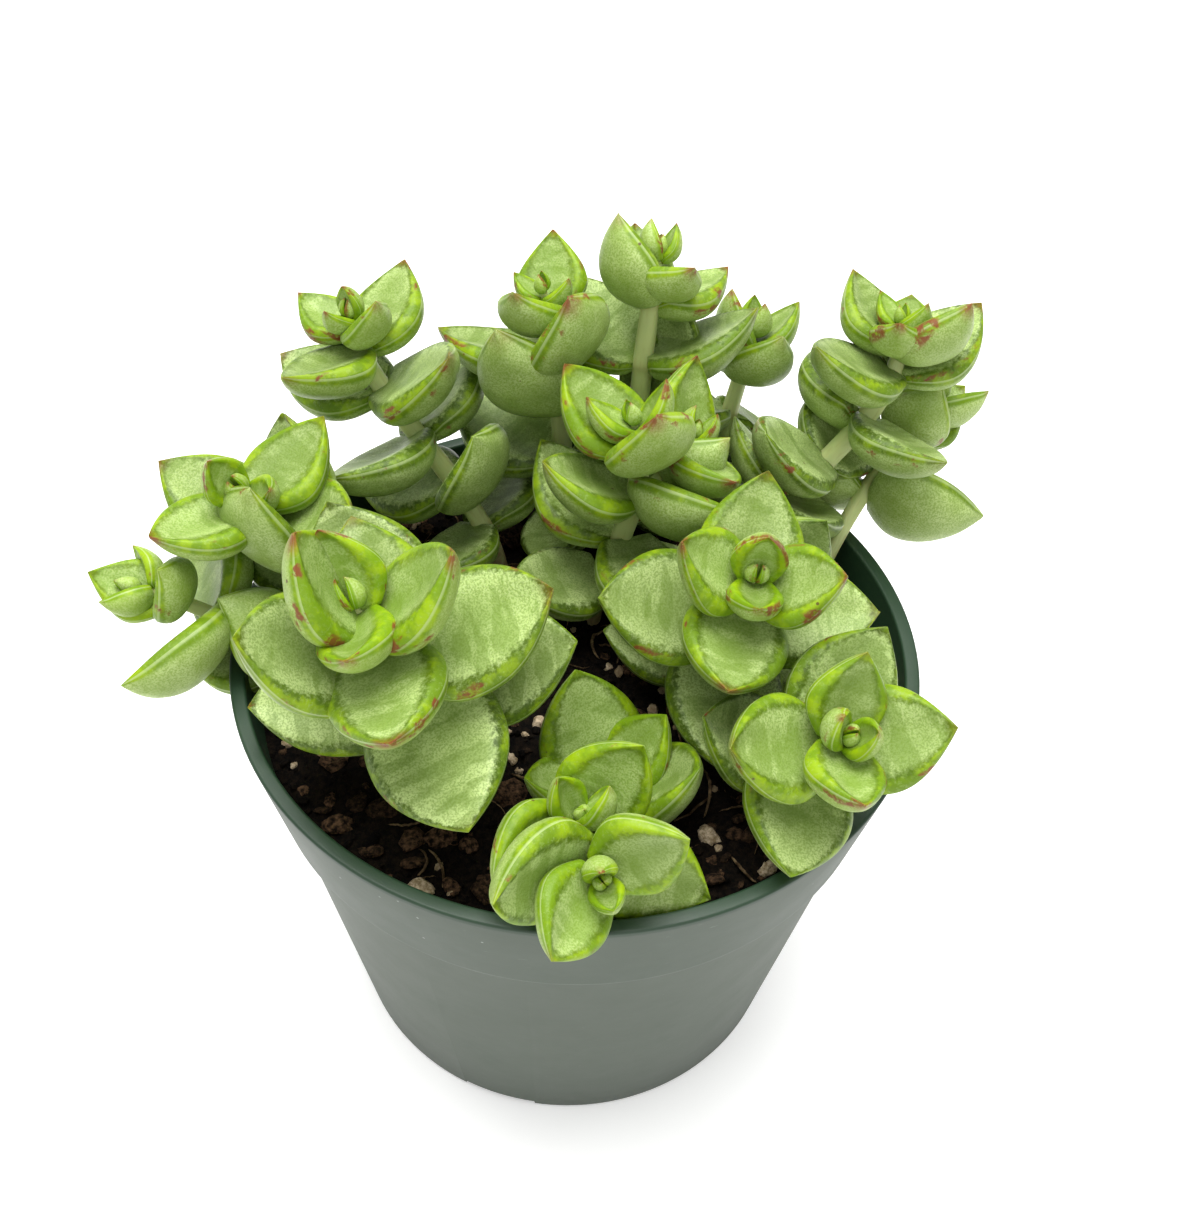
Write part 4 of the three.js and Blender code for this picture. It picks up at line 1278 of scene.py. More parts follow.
@dataclass
class Crowd:
    """Leaves that give way: one that would cross another shoot, the rim or the mix turns at its root."""

    shoots: list[Shoot]
    leaves: list[Leaf]
    sweeps: int = 48
    stem_points: int = 28
    clearance: float = 0.5
    mix_clearance: float = 1.8
    bead_radius: float = 52.8
    bead_height: float = 79.0
    bead: float = 1.5
    rim_inner: float = 51.6
    gain: float = 1.32
    largest_turn: float = 0.08
    smallest_arm: float = 0.25
    largest_ball: float = 3.5
    bud_softness: float = 0.15
    rank_softness: float = 0.18

    def settle(self) -> None:
        """Runs the sweeps and leaves each leaf with its new attitude."""
        fill = [leaf.filling() for leaf in self.leaves]
        self.local = np.stack([places for places, _ in fill])
        self.radii = np.stack([radii for _, radii in fill])
        self.roots = np.stack([leaf.root for leaf in self.leaves])
        self.owner = np.array([leaf.shoot for leaf in self.leaves])
        self.softness = np.array([self.bud_softness + self.rank_softness * leaf.rank for leaf in self.leaves])
        self.least = np.array([(self.smallest_arm * leaf.length) ** 2 for leaf in self.leaves])
        first, second = np.triu_indices(len(self.leaves), 1)
        apart = self.owner[first] != self.owner[second]
        self.pairs = first[apart], second[apart]
        for _ in range(self.sweeps):
            self.sweep()

    def sweep(self) -> None:
        """Gathers all pushes at the present places, then turns every leaf once."""
        attitudes = np.stack([leaf.attitude for leaf in self.leaves])
        self.places = np.einsum("nij,nkj->nki", attitudes, self.local) + self.roots[:, None]
        self.middles = self.places.mean(axis=1)
        spans = np.linalg.norm(self.places - self.middles[:, None], axis=2)
        self.reach = self.largest_ball + spans.max(axis=1)
        self.torque = np.zeros((len(self.leaves), 3))
        self.inertia = np.zeros(len(self.leaves))
        self.push_leaves()
        self.push_from_stems()
        self.push_from_mix()
        self.push_from_rim()
        for leaf, torque, inertia, least in zip(self.leaves, self.torque, self.inertia, self.least):
            spin = torque * self.gain / max(inertia, least)
            angle = float(np.linalg.norm(spin))
            if angle >= TINY:
                leaf.attitude = rotation(spin / angle, min(angle, self.largest_turn)) @ leaf.attitude

    def add(self, leaf: np.ndarray, ball: np.ndarray, shift: np.ndarray) -> None:
        """Adds pushes on balls to the torque of their leaves.

        Args:
            leaf: Which leaf each push acts on.
            ball: Which of its balls.
            shift: How far the ball should move.
        """
        arm = self.places[leaf, ball] - self.roots[leaf]
        np.add.at(self.torque, leaf, np.cross(arm, shift))
        np.add.at(self.inertia, leaf, (arm**2).sum(axis=1))

    def push_leaves(self) -> None:
        """Pushes leaves of different shoots apart, the softer one more."""
        first, second = self.pairs
        span = np.linalg.norm(self.middles[first] - self.middles[second], axis=1)
        near = span <= self.reach[first] + self.reach[second]
        first, second = first[near], second[near]
        gaps = self.places[first][:, :, None] - self.places[second][:, None]
        lengths = np.linalg.norm(gaps, axis=3)
        rooms = self.radii[first][:, :, None] + self.radii[second][:, None] + self.clearance
        pair, i, j = np.nonzero(lengths < rooms)
        length = lengths[pair, i, j]
        shift = gaps[pair, i, j] * ((rooms[pair, i, j] - length) / np.maximum(length, TINY))[:, None]
        soft = self.softness[first[pair]]
        share = (soft / (soft + self.softness[second[pair]]))[:, None]
        self.add(first[pair], i, shift * share)
        self.add(second[pair], j, shift * (share - 1))

    def push_from_stems(self) -> None:
        """Pushes leaves off the other shoots' stems."""
        shares = np.linspace(0.0, 1.0, self.stem_points)
        for index, shoot in enumerate(self.shoots):
            for point in shoot.at(shares):
                span = np.linalg.norm(self.middles - point, axis=1)
                near = np.nonzero((span < self.reach + STEM_RADIUS) & (self.owner != index))[0]
                gaps = self.places[near] - point
                lengths = np.linalg.norm(gaps, axis=2)
                rooms = self.radii[near] + STEM_RADIUS + self.clearance
                leaf, ball = np.nonzero(lengths < rooms)
                length = lengths[leaf, ball]
                push = (rooms[leaf, ball] - length) / np.maximum(length, TINY)
                self.add(near[leaf], ball, gaps[leaf, ball] * push[:, None])

    def push_from_mix(self) -> None:
        """Lifts leaves off the mix."""
        out = np.linalg.norm(self.places[:, :, :2], axis=2)
        lift = MIX_TOP + self.mix_clearance + self.radii - self.places[:, :, 2]
        leaf, ball = np.nonzero((lift > 0) & (out < self.rim_inner))
        upward = np.zeros((len(leaf), 3))
        upward[:, 2] = lift[leaf, ball]
        self.add(leaf, ball, upward)

    def push_from_rim(self) -> None:
        """Pushes leaves off the wall below the rim, and away from the rim's rounded top."""
        flat = self.places[:, :, :2]
        out = np.linalg.norm(flat, axis=2)
        outward = np.zeros_like(self.places)
        outward[:, :, :2] = flat / np.maximum(out, TINY)[:, :, None]
        beyond = out - self.bead_radius
        above = self.places[:, :, 2] - self.bead_height
        room = self.radii + self.bead + self.clearance
        depth = room - np.abs(beyond)
        leaf, ball = np.nonzero((above < 0) & (depth > 0))
        signed = np.where(beyond < 0, -depth, depth)[leaf, ball]
        self.add(leaf, ball, outward[leaf, ball] * signed[:, None])
        apart = np.hypot(beyond, above)
        depth = room - apart
        leaf, ball = np.nonzero((above >= 0) & (depth > 0))
        push = outward[leaf, ball] * beyond[leaf, ball][:, None]
        push[:, 2] += above[leaf, ball]
        self.add(leaf, ball, push * (depth[leaf, ball] / np.maximum(apart[leaf, ball], TINY))[:, None])


# Leaves and stems


@dataclass
class LeafShaper:
    """Draws a ball out into a leaf: cupped above with a rounded shoulder, keeled below."""

    around: int = 40
    rings: int = 30
    small_around: int = 24
    small_rings: int = 18
    small_length: float = 7.0
    root_crowding: float = 1.45
    crest: float = 0.80
    old_dish: float = 0.10
    young_dish: float = 0.20
    young_ranks: float = 2.2
    dish_variety: float = 0.35
    dish_draw: int = 3
    roll: float = 0.20
    roll_power: float = 2.0
    belly: float = 0.98
    belly_power: float = 0.85
    root_drop: float = 0.4
    unevenness: float = 0.12
    usual_length: float = 20.0
    phase_steps: tuple[float, ...] = (1.3, 2.1, 4.0)
    slow_wave: Pair = (5.1, 2.3)
    quick_wave: Pair = (9.7, 3.9)
    quick_phase: float = 1.7
    ripple_wave: float = 7.3
    bend_wave: float = 3.1
    sideways: float = 0.6
    ripple: float = 0.02
    tip_start: float = 0.6
    tip_power: float = 1.6
    edge_power: int = 5
    tip_under: float = 0.7
    first_old_rank: float = 0.3
    ageing_ranks: float = 4.5
    shade_height: float = 84.0
    sun_rise: float = 22.0
    top_sun: float = 1.25
    rank_shade: float = 0.22
    least_sun: float = 0.35
    sun_variety: float = 0.9
    sun_draw: int = 5
    seed_steps: tuple[float, ...] = (37.0, 5.3, 2.1)
    grain_steps: tuple[float, ...] = (1.7, 0.9, 2.3)

    def __post_init__(self) -> None:
        """Makes the ball meshes that leaves are drawn from."""
        self.shape = ball_shape(self.around, self.rings)
        self.small_shape = ball_shape(self.small_around, self.small_rings)

    def add(self, heap: Heap, leaf: Leaf) -> None:
        """Adds a leaf to a heap.

        Args:
            heap: The leaves of one stem.
            leaf: The leaf to add.
        """
        shape = self.small_shape if leaf.length < self.small_length else self.shape
        turn, polar, pole = ball_angles(places_of(shape))
        along = 1.0 - (1.0 - polar) ** self.root_crowding
        upper = np.sin(turn) > 0
        local = self.local_places(leaf, along, turn, upper, pole)
        places = local @ leaf.attitude.T + leaf.root
        form = self.form_marks(along, np.abs(np.cos(turn)), upper, pole)
        by_shoot, by_rank, by_side = self.seed_steps
        seed = by_shoot * leaf.shoot + by_rank * leaf.rank + by_side * leaf.side
        inner = local + np.array([step * seed for step in self.grain_steps])
        life = np.tile(self.life(leaf), (len(places), 1))
        heap.add(shape, places, leaf_form=form, leaf_place=inner, leaf_life=life)

    def local_places(self, leaf: Leaf, along: np.ndarray, turn: np.ndarray, upper: np.ndarray,
                     pole: np.ndarray) -> np.ndarray:
        """Works out where a leaf's vertices lie in its own frame.

        Args:
            leaf: The leaf.
            along: Place along the leaf, 0 at its root and 1 at its tip.
            turn: Turn about the leaf's length, from one margin over the face to the other.
            upper: Whether the vertex is on the upper face.
            pole: Whether the vertex closes an end.

        Returns:
            One row of across, along and height for each vertex.
        """
        across = np.cos(turn)
        half = 0.5 * leaf.width * outline(along, leaf.taper)
        depth = leaf.thick * eased(along, BULGE_STOPS, BULGE_HEIGHTS)
        young = math.exp(-leaf.rank / self.young_ranks)
        dish = self.old_dish + (self.young_dish - self.old_dish) * young
        dish *= 1.0 + self.dish_variety * wobble(leaf.shoot + self.dish_draw, 2 * leaf.rank + leaf.side)
        reach = np.abs(across)
        bowl = -dish * 0.5 * (1 + np.cos(np.clip(reach / self.crest, 0, 1) * math.pi))
        shoulder = -self.roll * np.clip((reach - self.crest) / (1 - self.crest), 0, 1) ** self.roll_power
        below = -self.roll - (self.belly - self.roll) * np.abs(np.sin(turn)) ** self.belly_power
        height = LEAF_SEAT * leaf.thick + LEAF_CURL * leaf.length * along**2
        height = height + depth * np.where(upper, bowl + shoulder, below)
        sway = self.unevenness * leaf.length / self.usual_length
        by_shoot, by_rank, by_side = self.phase_steps
        phase = by_shoot * leaf.shoot + by_rank * leaf.rank + by_side * leaf.side
        height += sway * np.sin(self.slow_wave[0] * along + self.slow_wave[1] * across + phase)
        quick = self.quick_wave[0] * along - self.quick_wave[1] * across + self.quick_phase * phase
        height += 0.5 * sway * np.sin(quick)
        side = half * across * (1 + self.ripple * np.sin(self.ripple_wave * along + phase))
        bend = self.sideways * sway * np.sin(self.bend_wave * along + phase)
        root = pole & (along < 0.5)
        height = np.where(root, (LEAF_SEAT - self.root_drop) * leaf.thick, height)
        tip = pole & (along > 0.5)
        height = np.where(tip, height - 0.5 * depth * (bowl + shoulder), height)
        side = np.where(pole, bend, side + bend)
        return np.stack([side, along * leaf.length, height], axis=1)

    def form_marks(self, along: np.ndarray, reach: np.ndarray, upper: np.ndarray,
                   pole: np.ndarray) -> np.ndarray:
        """Marks how near the margin each vertex is, its place along, and how far underneath it is.

        Args:
            along: Place along the leaf, 0 at its root and 1 at its tip.
            reach: Distance from the middle, 0 to 1.
            upper: Whether the vertex is on the upper face.
            pole: Whether the vertex closes an end.

        Returns:
            One row of the three marks for each vertex.
        """
        tip = np.clip((along - self.tip_start) / (1.0 - self.tip_start), 0.0, 1.0) ** self.tip_power
        edge = np.clip((reach**self.edge_power + tip**self.edge_power) ** (1.0 / self.edge_power), 0.0, 1.0)
        edge = np.where(pole & (along > 0.5), 1.0, edge)
        under = np.where(upper, 0.0, np.maximum((1.0 - reach) * (1.0 - self.tip_under * tip), 0.0))
        return np.stack([edge, along, under], axis=1)

    def life(self, leaf: Leaf) -> tuple[float, float, float]:
        """Works out how a leaf has fared.

        Args:
            leaf: The leaf.

        Returns:
            How old it looks, how much sun it had and a draw of its own.
        """
        age = float(np.clip((leaf.rank - self.first_old_rank) / self.ageing_ranks, 0.0, 1.0))
        height = np.clip((leaf.root[2] - self.shade_height) / self.sun_rise, 0.0, 1.0)
        exposure = height * np.clip(self.top_sun - self.rank_shade * leaf.rank, 0.0, 1.0)
        draw = 0.5 + 0.5 * wobble(leaf.shoot + self.sun_draw, 3 * leaf.rank + leaf.side)
        sun = float(exposure * np.clip(self.least_sun + self.sun_variety * draw, 0.0, 1.0))
        return age, sun, draw


@dataclass
class StalkShaper:
    """Draws a ball out into a stem with four soft ribs and a thickened ring at each pair of leaves."""

    around: int = 24
    rings: int = 90
    tip_radius: float = 0.35
    taper: float = 10.0
    ribs: int = 4
    rib: float = 0.05
    knot: float = 0.22
    knot_reach: float = 0.9
    full_leaf: float = 12.0
    fresh_height: float = 34.0
    grain_step: float = 31.0

    def __post_init__(self) -> None:
        """Makes the ball mesh that stems are drawn from."""
        self.shape = ball_shape(self.around, self.rings)

    def add(self, heap: Heap, shoot: Shoot, index: int) -> None:
        """Adds a stem to a heap.

        Args:
            heap: The stems of one node.
            shoot: The shoot whose stem it is.
            index: The shoot's number, for its own draws.
        """
        turn, polar, pole = ball_angles(places_of(self.shape))
        height = polar * shoot.arc[-1]
        share = shoot.share_at(height)
        radius = self.tip_radius + (shoot.girth * STEM_RADIUS - self.tip_radius) * (1 - share**self.taper)
        knots = np.zeros_like(height)
        for drop, length, *_ in shoot.pairs:
            away = (height - (shoot.arc[-1] - drop)) / self.knot_reach
            knots = np.maximum(knots, np.exp(-away**2) * min(1.0, length / self.full_leaf))
        radius = radius + self.knot * knots * shoot.girth
        radius = radius * (1 + self.rib * np.cos(self.ribs * (turn - math.radians(shoot.turn))))
        radius = np.where(pole, 0.0, radius)
        east, north = shoot.cross(share)
        sideways = np.cos(turn)[:, None] * east + np.sin(turn)[:, None] * north
        places = shoot.at(share) + radius[:, None] * sideways
        rise = np.clip((places[:, 2] - MIX_TOP) / self.fresh_height, 0.0, 1.0)
        form = np.stack([rise, knots, np.zeros_like(rise)], axis=1)
        skin = [np.cos(turn) * STEM_RADIUS, height, np.sin(turn) * STEM_RADIUS]
        inner = np.stack(skin, axis=1) + self.grain_step * index
        heap.add(self.shape, places, stem_form=form, stem_place=inner)


@dataclass
class Plant:
    """The leafy stems, laid out together and built one node at a time."""

    shoots: list[Shoot] = field(default_factory=lambda: front_shoots() + back_shoots() + low_shoots())

    def build(self, effects: Effects) -> None:
        """Builds every stem and its leaves and hands them over.

        Args:
            effects: The shared node groups.
        """
        leaves = leaves_of(self.shoots)
        Crowd(self.shoots, leaves).settle()
        leaf_skin = LeafFinish().material(effects)
        stem_skin = StemFinish().material(effects)
        leaf_shaper = LeafShaper()
        stalk_shaper = StalkShaper()
        for node in dict.fromkeys(shoot.name for shoot in self.shoots):
            stalks = Heap()
            blades = Heap()
            numbers = [index for index, shoot in enumerate(self.shoots) if shoot.name == node]
            for index in numbers:
                stalk_shaper.add(stalks, self.shoots[index], index)
            for leaf in leaves:
                if leaf.shoot in numbers:
                    leaf_shaper.add(blades, leaf)
            place = node.removeprefix("stem_")
            hand_over(stalks.finish(f"stalk_{place}", stem_skin), node)
            hand_over(blades.finish(f"leaves_{place}", leaf_skin), node)


# Pot


@dataclass
class Pot:
    """A round tapered pot with a plain collar under its rim, a foot ring with notches and drain holes."""

    height: float = 80.0
    rim_radius: float = 54.0
    rim_inner: float = 51.6
    rim_rounding: float = 0.5
    rim_inset: float = 0.04
    corner_degrees: float = 22.5
    outer_steps: tuple[int, int] = (1, 5)
    inner_steps: tuple[int, int] = (4, 9)
    collar_bottom: float = 60.5
    collar_radius: float = 50.2
    collar_step: float = 1.3
    ledge_start: Pair = (0.35, -0.18)
    ledge_end: Pair = (-0.15, -0.1)
    ledge_edge: float = 0.15
    base_radius: float = 39.5
    base_rounding: float = 1.2
    base_chamfer: float = 0.3
    wall: float = 1.6
    foot_inner: float = 34.0
    pad_radius: float = 14.0
    groove: float = 2.0
    groove_slope: float = 0.8
    segments: int = 160
    drain_holes: int = 8
    drain_radius: float = 4.0
    drain_ring: float = 24.0
    drain_segments: int = 24
    cut_depth: float = 4.0
    notches: int = 4
    notch_width: float = 13.0
    notch_height: float = 2.0
    notch_turn: float = -106.0
    base_margin: float = 2.0
    face_margin: float = 0.5
    crease_degrees: float = 38.0

    def profile(self) -> list[Pair]:
        """Draws the half outline that is spun.

        Returns:
            Radius and height of each corner, from the axis under the floor to the axis above it.
        """
        body_top = self.collar_radius - self.collar_step
        floor_top = self.groove + self.wall
        inner_base = self.base_radius + (body_top - self.base_radius) * floor_top / self.collar_bottom
        chamfer = self.base_chamfer * self.base_rounding
        points = [
            (0.0, 0.0),
            (self.pad_radius, 0.0),
            (self.pad_radius + self.groove_slope, self.groove),
            (self.foot_inner - self.groove_slope, self.groove),
            (self.foot_inner, 0.0),
            (self.base_radius - self.base_rounding, 0.0),
            (self.base_radius - chamfer, chamfer),
            (self.base_radius, self.base_rounding),
            (body_top, self.collar_bottom - self.rim_rounding),
            (body_top + self.ledge_start[0], self.collar_bottom + self.ledge_start[1]),
            (self.collar_radius + self.ledge_end[0], self.collar_bottom + self.ledge_end[1]),
            (self.collar_radius, self.collar_bottom + self.ledge_edge),
            (self.rim_radius - self.rim_inset, self.height - self.rim_rounding),
        ]
        corner = self.rim_rounding
        rounded = (self.rim_radius - corner, self.outer_steps), (self.rim_inner + corner, self.inner_steps)
        for middle, steps in rounded:
            for angle in (math.radians(self.corner_degrees * step) for step in range(*steps)):
                height = self.height - corner + corner * math.sin(angle)
                points.append((middle + corner * math.cos(angle), height))
        return points + [
            (self.collar_radius - self.wall, self.collar_bottom + self.wall),
            (body_top - self.wall, self.collar_bottom - self.rim_rounding),
            (inner_base - self.wall, floor_top),
            (0.0, floor_top),
        ]

    def build(self, effects: Effects) -> None:
        """Builds the pot and hands it over.

        Args:
            effects: The shared node groups.
        """
        mesh = finished_mesh("pot_body", spun(self.profile(), self.segments))
        shell = new_piece("pot_body", mesh, PotFinish().material(effects), True)
        self.cut(shell)
        self.mark(shell.data)
        self.crease(shell.data)
        hand_over(shell, "pot")

    def cut(self, shell: bpy.types.Object) -> None:
        """Cuts the drain holes and the foot notches.

        Args:
            shell: The spun pot, whose mesh is replaced by the cut one.
        """
        tool = bmesh.new()
        for index in range(self.drain_holes):
            angle = 2 * math.pi * index / self.drain_holes
            out = self.drain_ring
            place = Vector((out * math.cos(angle), out * math.sin(angle), self.groove))
            bmesh.ops.create_cone(
                tool, cap_ends=True, segments=self.drain_segments, radius1=self.drain_radius * MM,
                radius2=self.drain_radius * MM, depth=self.cut_depth * self.wall * MM,
                matrix=Matrix.Translation(place * MM),
            )
        reach = self.base_radius - self.foot_inner + self.cut_depth * self.groove_slope
        for index in range(self.notches):
            angle = math.radians(self.notch_turn) + 2 * math.pi * index / self.notches
            middle = (self.base_radius + self.foot_inner) / 2
            sizes = Matrix.Diagonal((reach * MM, self.notch_width * MM, 2 * self.notch_height * MM, 1.0))
            outward = Matrix.Translation((middle * MM, 0.0, 0.0))
            bmesh.ops.create_cube(tool, size=1.0, matrix=Matrix.Rotation(angle, 4, "Z") @ outward @ sizes)
        cutter = placed("pot_cutter", finished_mesh("pot_cutter", tool))
        difference = shell.modifiers.new("drains", "BOOLEAN")
        difference.operation = "DIFFERENCE"
        difference.solver = "EXACT"
        difference.object = cutter
        bpy.context.view_layer.update()
        result = shell.evaluated_get(bpy.context.evaluated_depsgraph_get())
        finished = bpy.data.meshes.new_from_object(result)
        shell.modifiers.clear()
        old = shell.data
        shell.data = finished
        bpy.data.meshes.remove(old)
        bpy.data.objects.remove(cutter)

    def mark(self, mesh: bpy.types.Mesh) -> None:
        """Marks the outer wall, where the painted sheen lies.

        Args:
            mesh: The cut pot.
        """
        places = places_of(mesh) / MM
        out = np.hypot(places[:, 0], places[:, 1])
        inner = self.base_radius + (self.collar_radius - self.base_radius) * places[:, 2] / self.collar_bottom
        outer = out > np.minimum(inner, self.rim_radius) - 0.5 * self.wall - self.collar_step
        outer &= out > self.base_radius - self.base_margin
        slope = (self.rim_radius - self.collar_radius) / (self.height - self.collar_bottom)
        face = self.collar_radius + slope * (places[:, 2] - self.collar_bottom)
        marks = np.zeros((len(places), 3))
        marks[:, 0] = np.where(places[:, 2] > self.collar_bottom, out > face - self.face_margin, outer)
        set_marks(mesh, "pot_form", marks)

    def crease(self, mesh: bpy.types.Mesh) -> None:
        """Keeps sharp edges crisp under smooth shading.

        Args:
            mesh: The cut pot.
        """
        mesh.polygons.foreach_set("use_smooth", [True] * len(mesh.polygons))
        body = bmesh.new()
        body.from_mesh(mesh)
        sharpest = math.radians(self.crease_degrees)
        for edge in body.edges:
            edge.smooth = len(edge.link_faces) == 2 and edge.calc_face_angle() < sharpest
        body.to_mesh(mesh)
        body.free()


# Potting mix


@dataclass(frozen=True)
class Grain:
    """One kind of grain on the mix. Sizes are radii, and flatness is thickness as a share of them."""

    name: str
    finish: MixFinish
    count: int
    sizes: Pair
    flatness: Pair
    level: int


PEAT = MixFinish("peat", (0.0008, 0.0006, 0.0004), (0.012, 0.0075, 0.004), 1.1)
BARK = MixFinish("bark", (0.005, 0.003, 0.0015), (0.150, 0.085, 0.045), 1.3)
PUMICE = MixFinish("pumice", (0.230, 0.165, 0.090), (0.720, 0.580, 0.400), 1.2, 0.9, 0.25)
ROOT_THREAD = MixFinish("root_thread", (0.050, 0.030, 0.014), (0.300, 0.210, 0.110), 0.7)


@dataclass
class Mix:
    """The potting mix: a rough bed with crumbs, bark chips, pumice and fibres lying in it.

    A wave holds its height, its two slopes and its phase. A lump layer holds its scale, the slice
    of noise that it reads, roughness, step, octaves and height.
    """

    radius: float = 51.0
    shoulder: Pair = (48.0, 58.0)
    floor: float = 4.2
    floor_radius: float = 37.6
    rings: int = 96
    segments: int = 288
    top_depth: float = 1.0
    fade_width: float = 1.5
    least_fade: float = 0.3
    edge_start: float = 46.0
    edge_width: float = 5.6
    edge_fall: float = 0.5
    waves: tuple[tuple[float, ...], ...] = (
        (0.24, 0.13, 0.09, 1.1),
        (0.18, -0.1, 0.12, 2.6),
        (0.18, 0.37, -0.31, 2.0),
    )
    lumps: tuple[tuple, ...] = ((0.11, 3.0, 0.8, 2.0, 3, 0.55), (0.55, 9.0, 0.6, 2.1, 4, 0.42))
    grains: tuple[Grain, ...] = (
        Grain("mix_crumbs", PEAT, 1500, (0.35, 1.1), (0.5, 1.0), 1),
        Grain("mix_bark", BARK, 330, (0.7, 3.0), (0.22, 0.5), 2),
        Grain("mix_pumice", PUMICE, 130, (0.6, 2.0), (0.6, 0.9), 3),
    )
    small_power: float = 2.5
    width_range: Pair = (0.55, 1.0)
    noise_reach: float = 50.0
    roughness: float = 0.38
    rough_scale: float = 1.3
    rough_noise: tuple[float, float, int] = (0.7, 2.0, 2)
    tilt_spread: float = 0.35
    rim_gap: float = 0.3
    sunk_range: Pair = (-0.1, 0.55)
    grain_tints: Pair = (0.25, 1.25)
    threads: int = 150
    thread_shape: tuple[int, int] = (6, 14)
    thread_lengths: Pair = (3.0, 11.0)
    thread_radii: Pair = (0.09, 0.28)
    thread_bends: Pair = (-1.2, 1.2)
    thread_lifts: Pair = (0.0, 1.1)
    thread_rise: float = 0.2
    thread_tints: Pair = (0.3, 1.2)
    seed: int = 20

    def level(self, x: float, y: float) -> float:
        """The height of the mix before its small relief.

        Args:
            x: Place to the right.
            y: Place to the back.

        Returns:
            The height.
        """
        edge = max(0.0, math.hypot(x, y) - self.edge_start) / self.edge_width
        height = MIX_TOP - self.edge_fall * edge
        for lift, along, across, phase in self.waves:
            height += lift * math.sin(along * x + across * y + phase)
        return height

    def relief(self, x: float, y: float) -> float:
        """Small lumps and pits of the bed's surface.

        Args:
            x: Place to the right.
            y: Place to the back.

        Returns:
            Their height.
        """
        return sum(
            height * noise.fractal(Vector((scale * x, scale * y, layer)), roughness, step, octaves)
            for scale, layer, roughness, step, octaves, height in self.lumps
        )

    def build(self, effects: Effects) -> None:
        """Builds the bed and what lies in it, and hands the pieces over.

        Args:
            effects: The shared node groups.
        """
        draws = random.Random(self.seed)
        hand_over(self.bed(PEAT.material(effects)), "potting_mix")
        for grain in self.grains:
            hand_over(self.scatter(grain, draws, grain.finish.material(effects)), "potting_mix")
        hand_over(self.fibres(draws, ROOT_THREAD.material(effects)), "potting_mix")

    def bed(self, material: bpy.types.Material) -> bpy.types.Object:
        """Spins the bed from a half outline and roughens its top.

        Args:
            material: Its finish.

        Returns:
            The piece.
        """
        points = [(self.radius * i / self.rings, MIX_TOP) for i in range(self.rings + 1)]
        points += [self.shoulder, (self.floor_radius, self.floor), (0.0, self.floor)]
        body = spun(points, self.segments)
        for vert in body.verts:
            if vert.co.z > (MIX_TOP - self.top_depth) * MM:
                x, y = vert.co.x / MM, vert.co.y / MM
                fade = min(1.0, (self.radius - math.hypot(x, y)) / self.fade_width + self.least_fade)
                vert.co.z = (self.level(x, y) + fade * self.relief(x, y)) * MM
        mesh = finished_mesh("mix_bed", body)
        set_marks(mesh, "grain_tint", np.ones((len(mesh.vertices), 3)))
        return new_piece("mix_bed", mesh, material, True)

    def scatter(self, grain: Grain, draws: random.Random, material: bpy.types.Material) -> bpy.types.Object:
        """Strews rough grains over the bed.

        Args:
            grain: What they are.
            draws: The seeded draws.
            material: Their finish.

        Returns:
            The piece.
        """
        shape = lump_shape(grain.level)
        ball = places_of(shape)
        heap = Heap()
        least, largest = grain.sizes
        for _ in range(grain.count):
            size = least + (largest - least) * draws.random() ** self.small_power
            scale = np.array([1.0, draws.uniform(*self.width_range), draws.uniform(*grain.flatness)])
            offset = np.array([draws.uniform(-self.noise_reach, self.noise_reach) for _ in range(3)])
            spots = (Vector(self.rough_scale * point + offset) for point in ball)
            bumps = (noise.fractal(spot, *self.rough_noise) for spot in spots)
            rough = np.array([1.0 + self.roughness * bump for bump in bumps])
            turn = np.array(Matrix.Rotation(draws.uniform(0, 2 * math.pi), 3, "Z"))
            tilt = np.array(Matrix.Rotation(draws.gauss(0, self.tilt_spread), 3, "X"))
            reach = (self.radius - size - self.rim_gap) * math.sqrt(draws.random())
            angle = draws.uniform(0, 2 * math.pi)
            x, y = reach * math.cos(angle), reach * math.sin(angle)
            sunk = draws.uniform(*self.sunk_range) * size * scale[2]
            middle = np.array([x, y, self.level(x, y) + self.relief(x, y) + sunk])
            places = (ball * rough[:, None] * scale * size) @ (turn @ tilt).T + middle
            heap.add(shape, places, grain_tint=np.full((len(ball), 3), draws.uniform(*self.grain_tints)))
        return heap.finish(grain.name, material, smooth=grain.level > 1)

    def fibres(self, draws: random.Random, material: bpy.types.Material) -> bpy.types.Object:
        """Strews thin bent fibres over the bed.

        Args:
            draws: The seeded draws.
            material: Their finish.

        Returns:
            The piece.
        """
        shape = ball_shape(*self.thread_shape)
        turn, polar, pole = ball_angles(places_of(shape))
        heap = Heap()
        for _ in range(self.threads):
            length = draws.uniform(*self.thread_lengths)
            radius = draws.uniform(*self.thread_radii)
            reach = (self.radius - length) * math.sqrt(draws.random())
            angle = draws.uniform(0, 2 * math.pi)
            heading = draws.uniform(0, 2 * math.pi)
            bend = draws.uniform(*self.thread_bends)
            lift = draws.uniform(*self.thread_lifts)
            sweep = heading + bend * (polar - 0.5)
            x = reach * math.cos(angle) + length * (polar - 0.5) * np.cos(sweep)
            y = reach * math.sin(angle) + length * (polar - 0.5) * np.sin(sweep)
            ground = np.array([self.level(a, b) + self.relief(a, b) for a, b in zip(x, y)])
            z = ground + self.thread_rise + lift * np.sin(polar * math.pi)
            thick = np.where(pole, 0.0, radius * (0.5 + 0.5 * np.sin(polar * math.pi)))
            places = np.stack([
                x - thick * np.cos(turn) * np.sin(sweep),
                y + thick * np.cos(turn) * np.cos(sweep),
                z + thick * np.sin(turn),
            ], axis=1)
            heap.add(shape, places, grain_tint=np.full((len(places), 3), draws.uniform(*self.thread_tints)))
        return heap.finish("mix_fibres", material)


# Studio


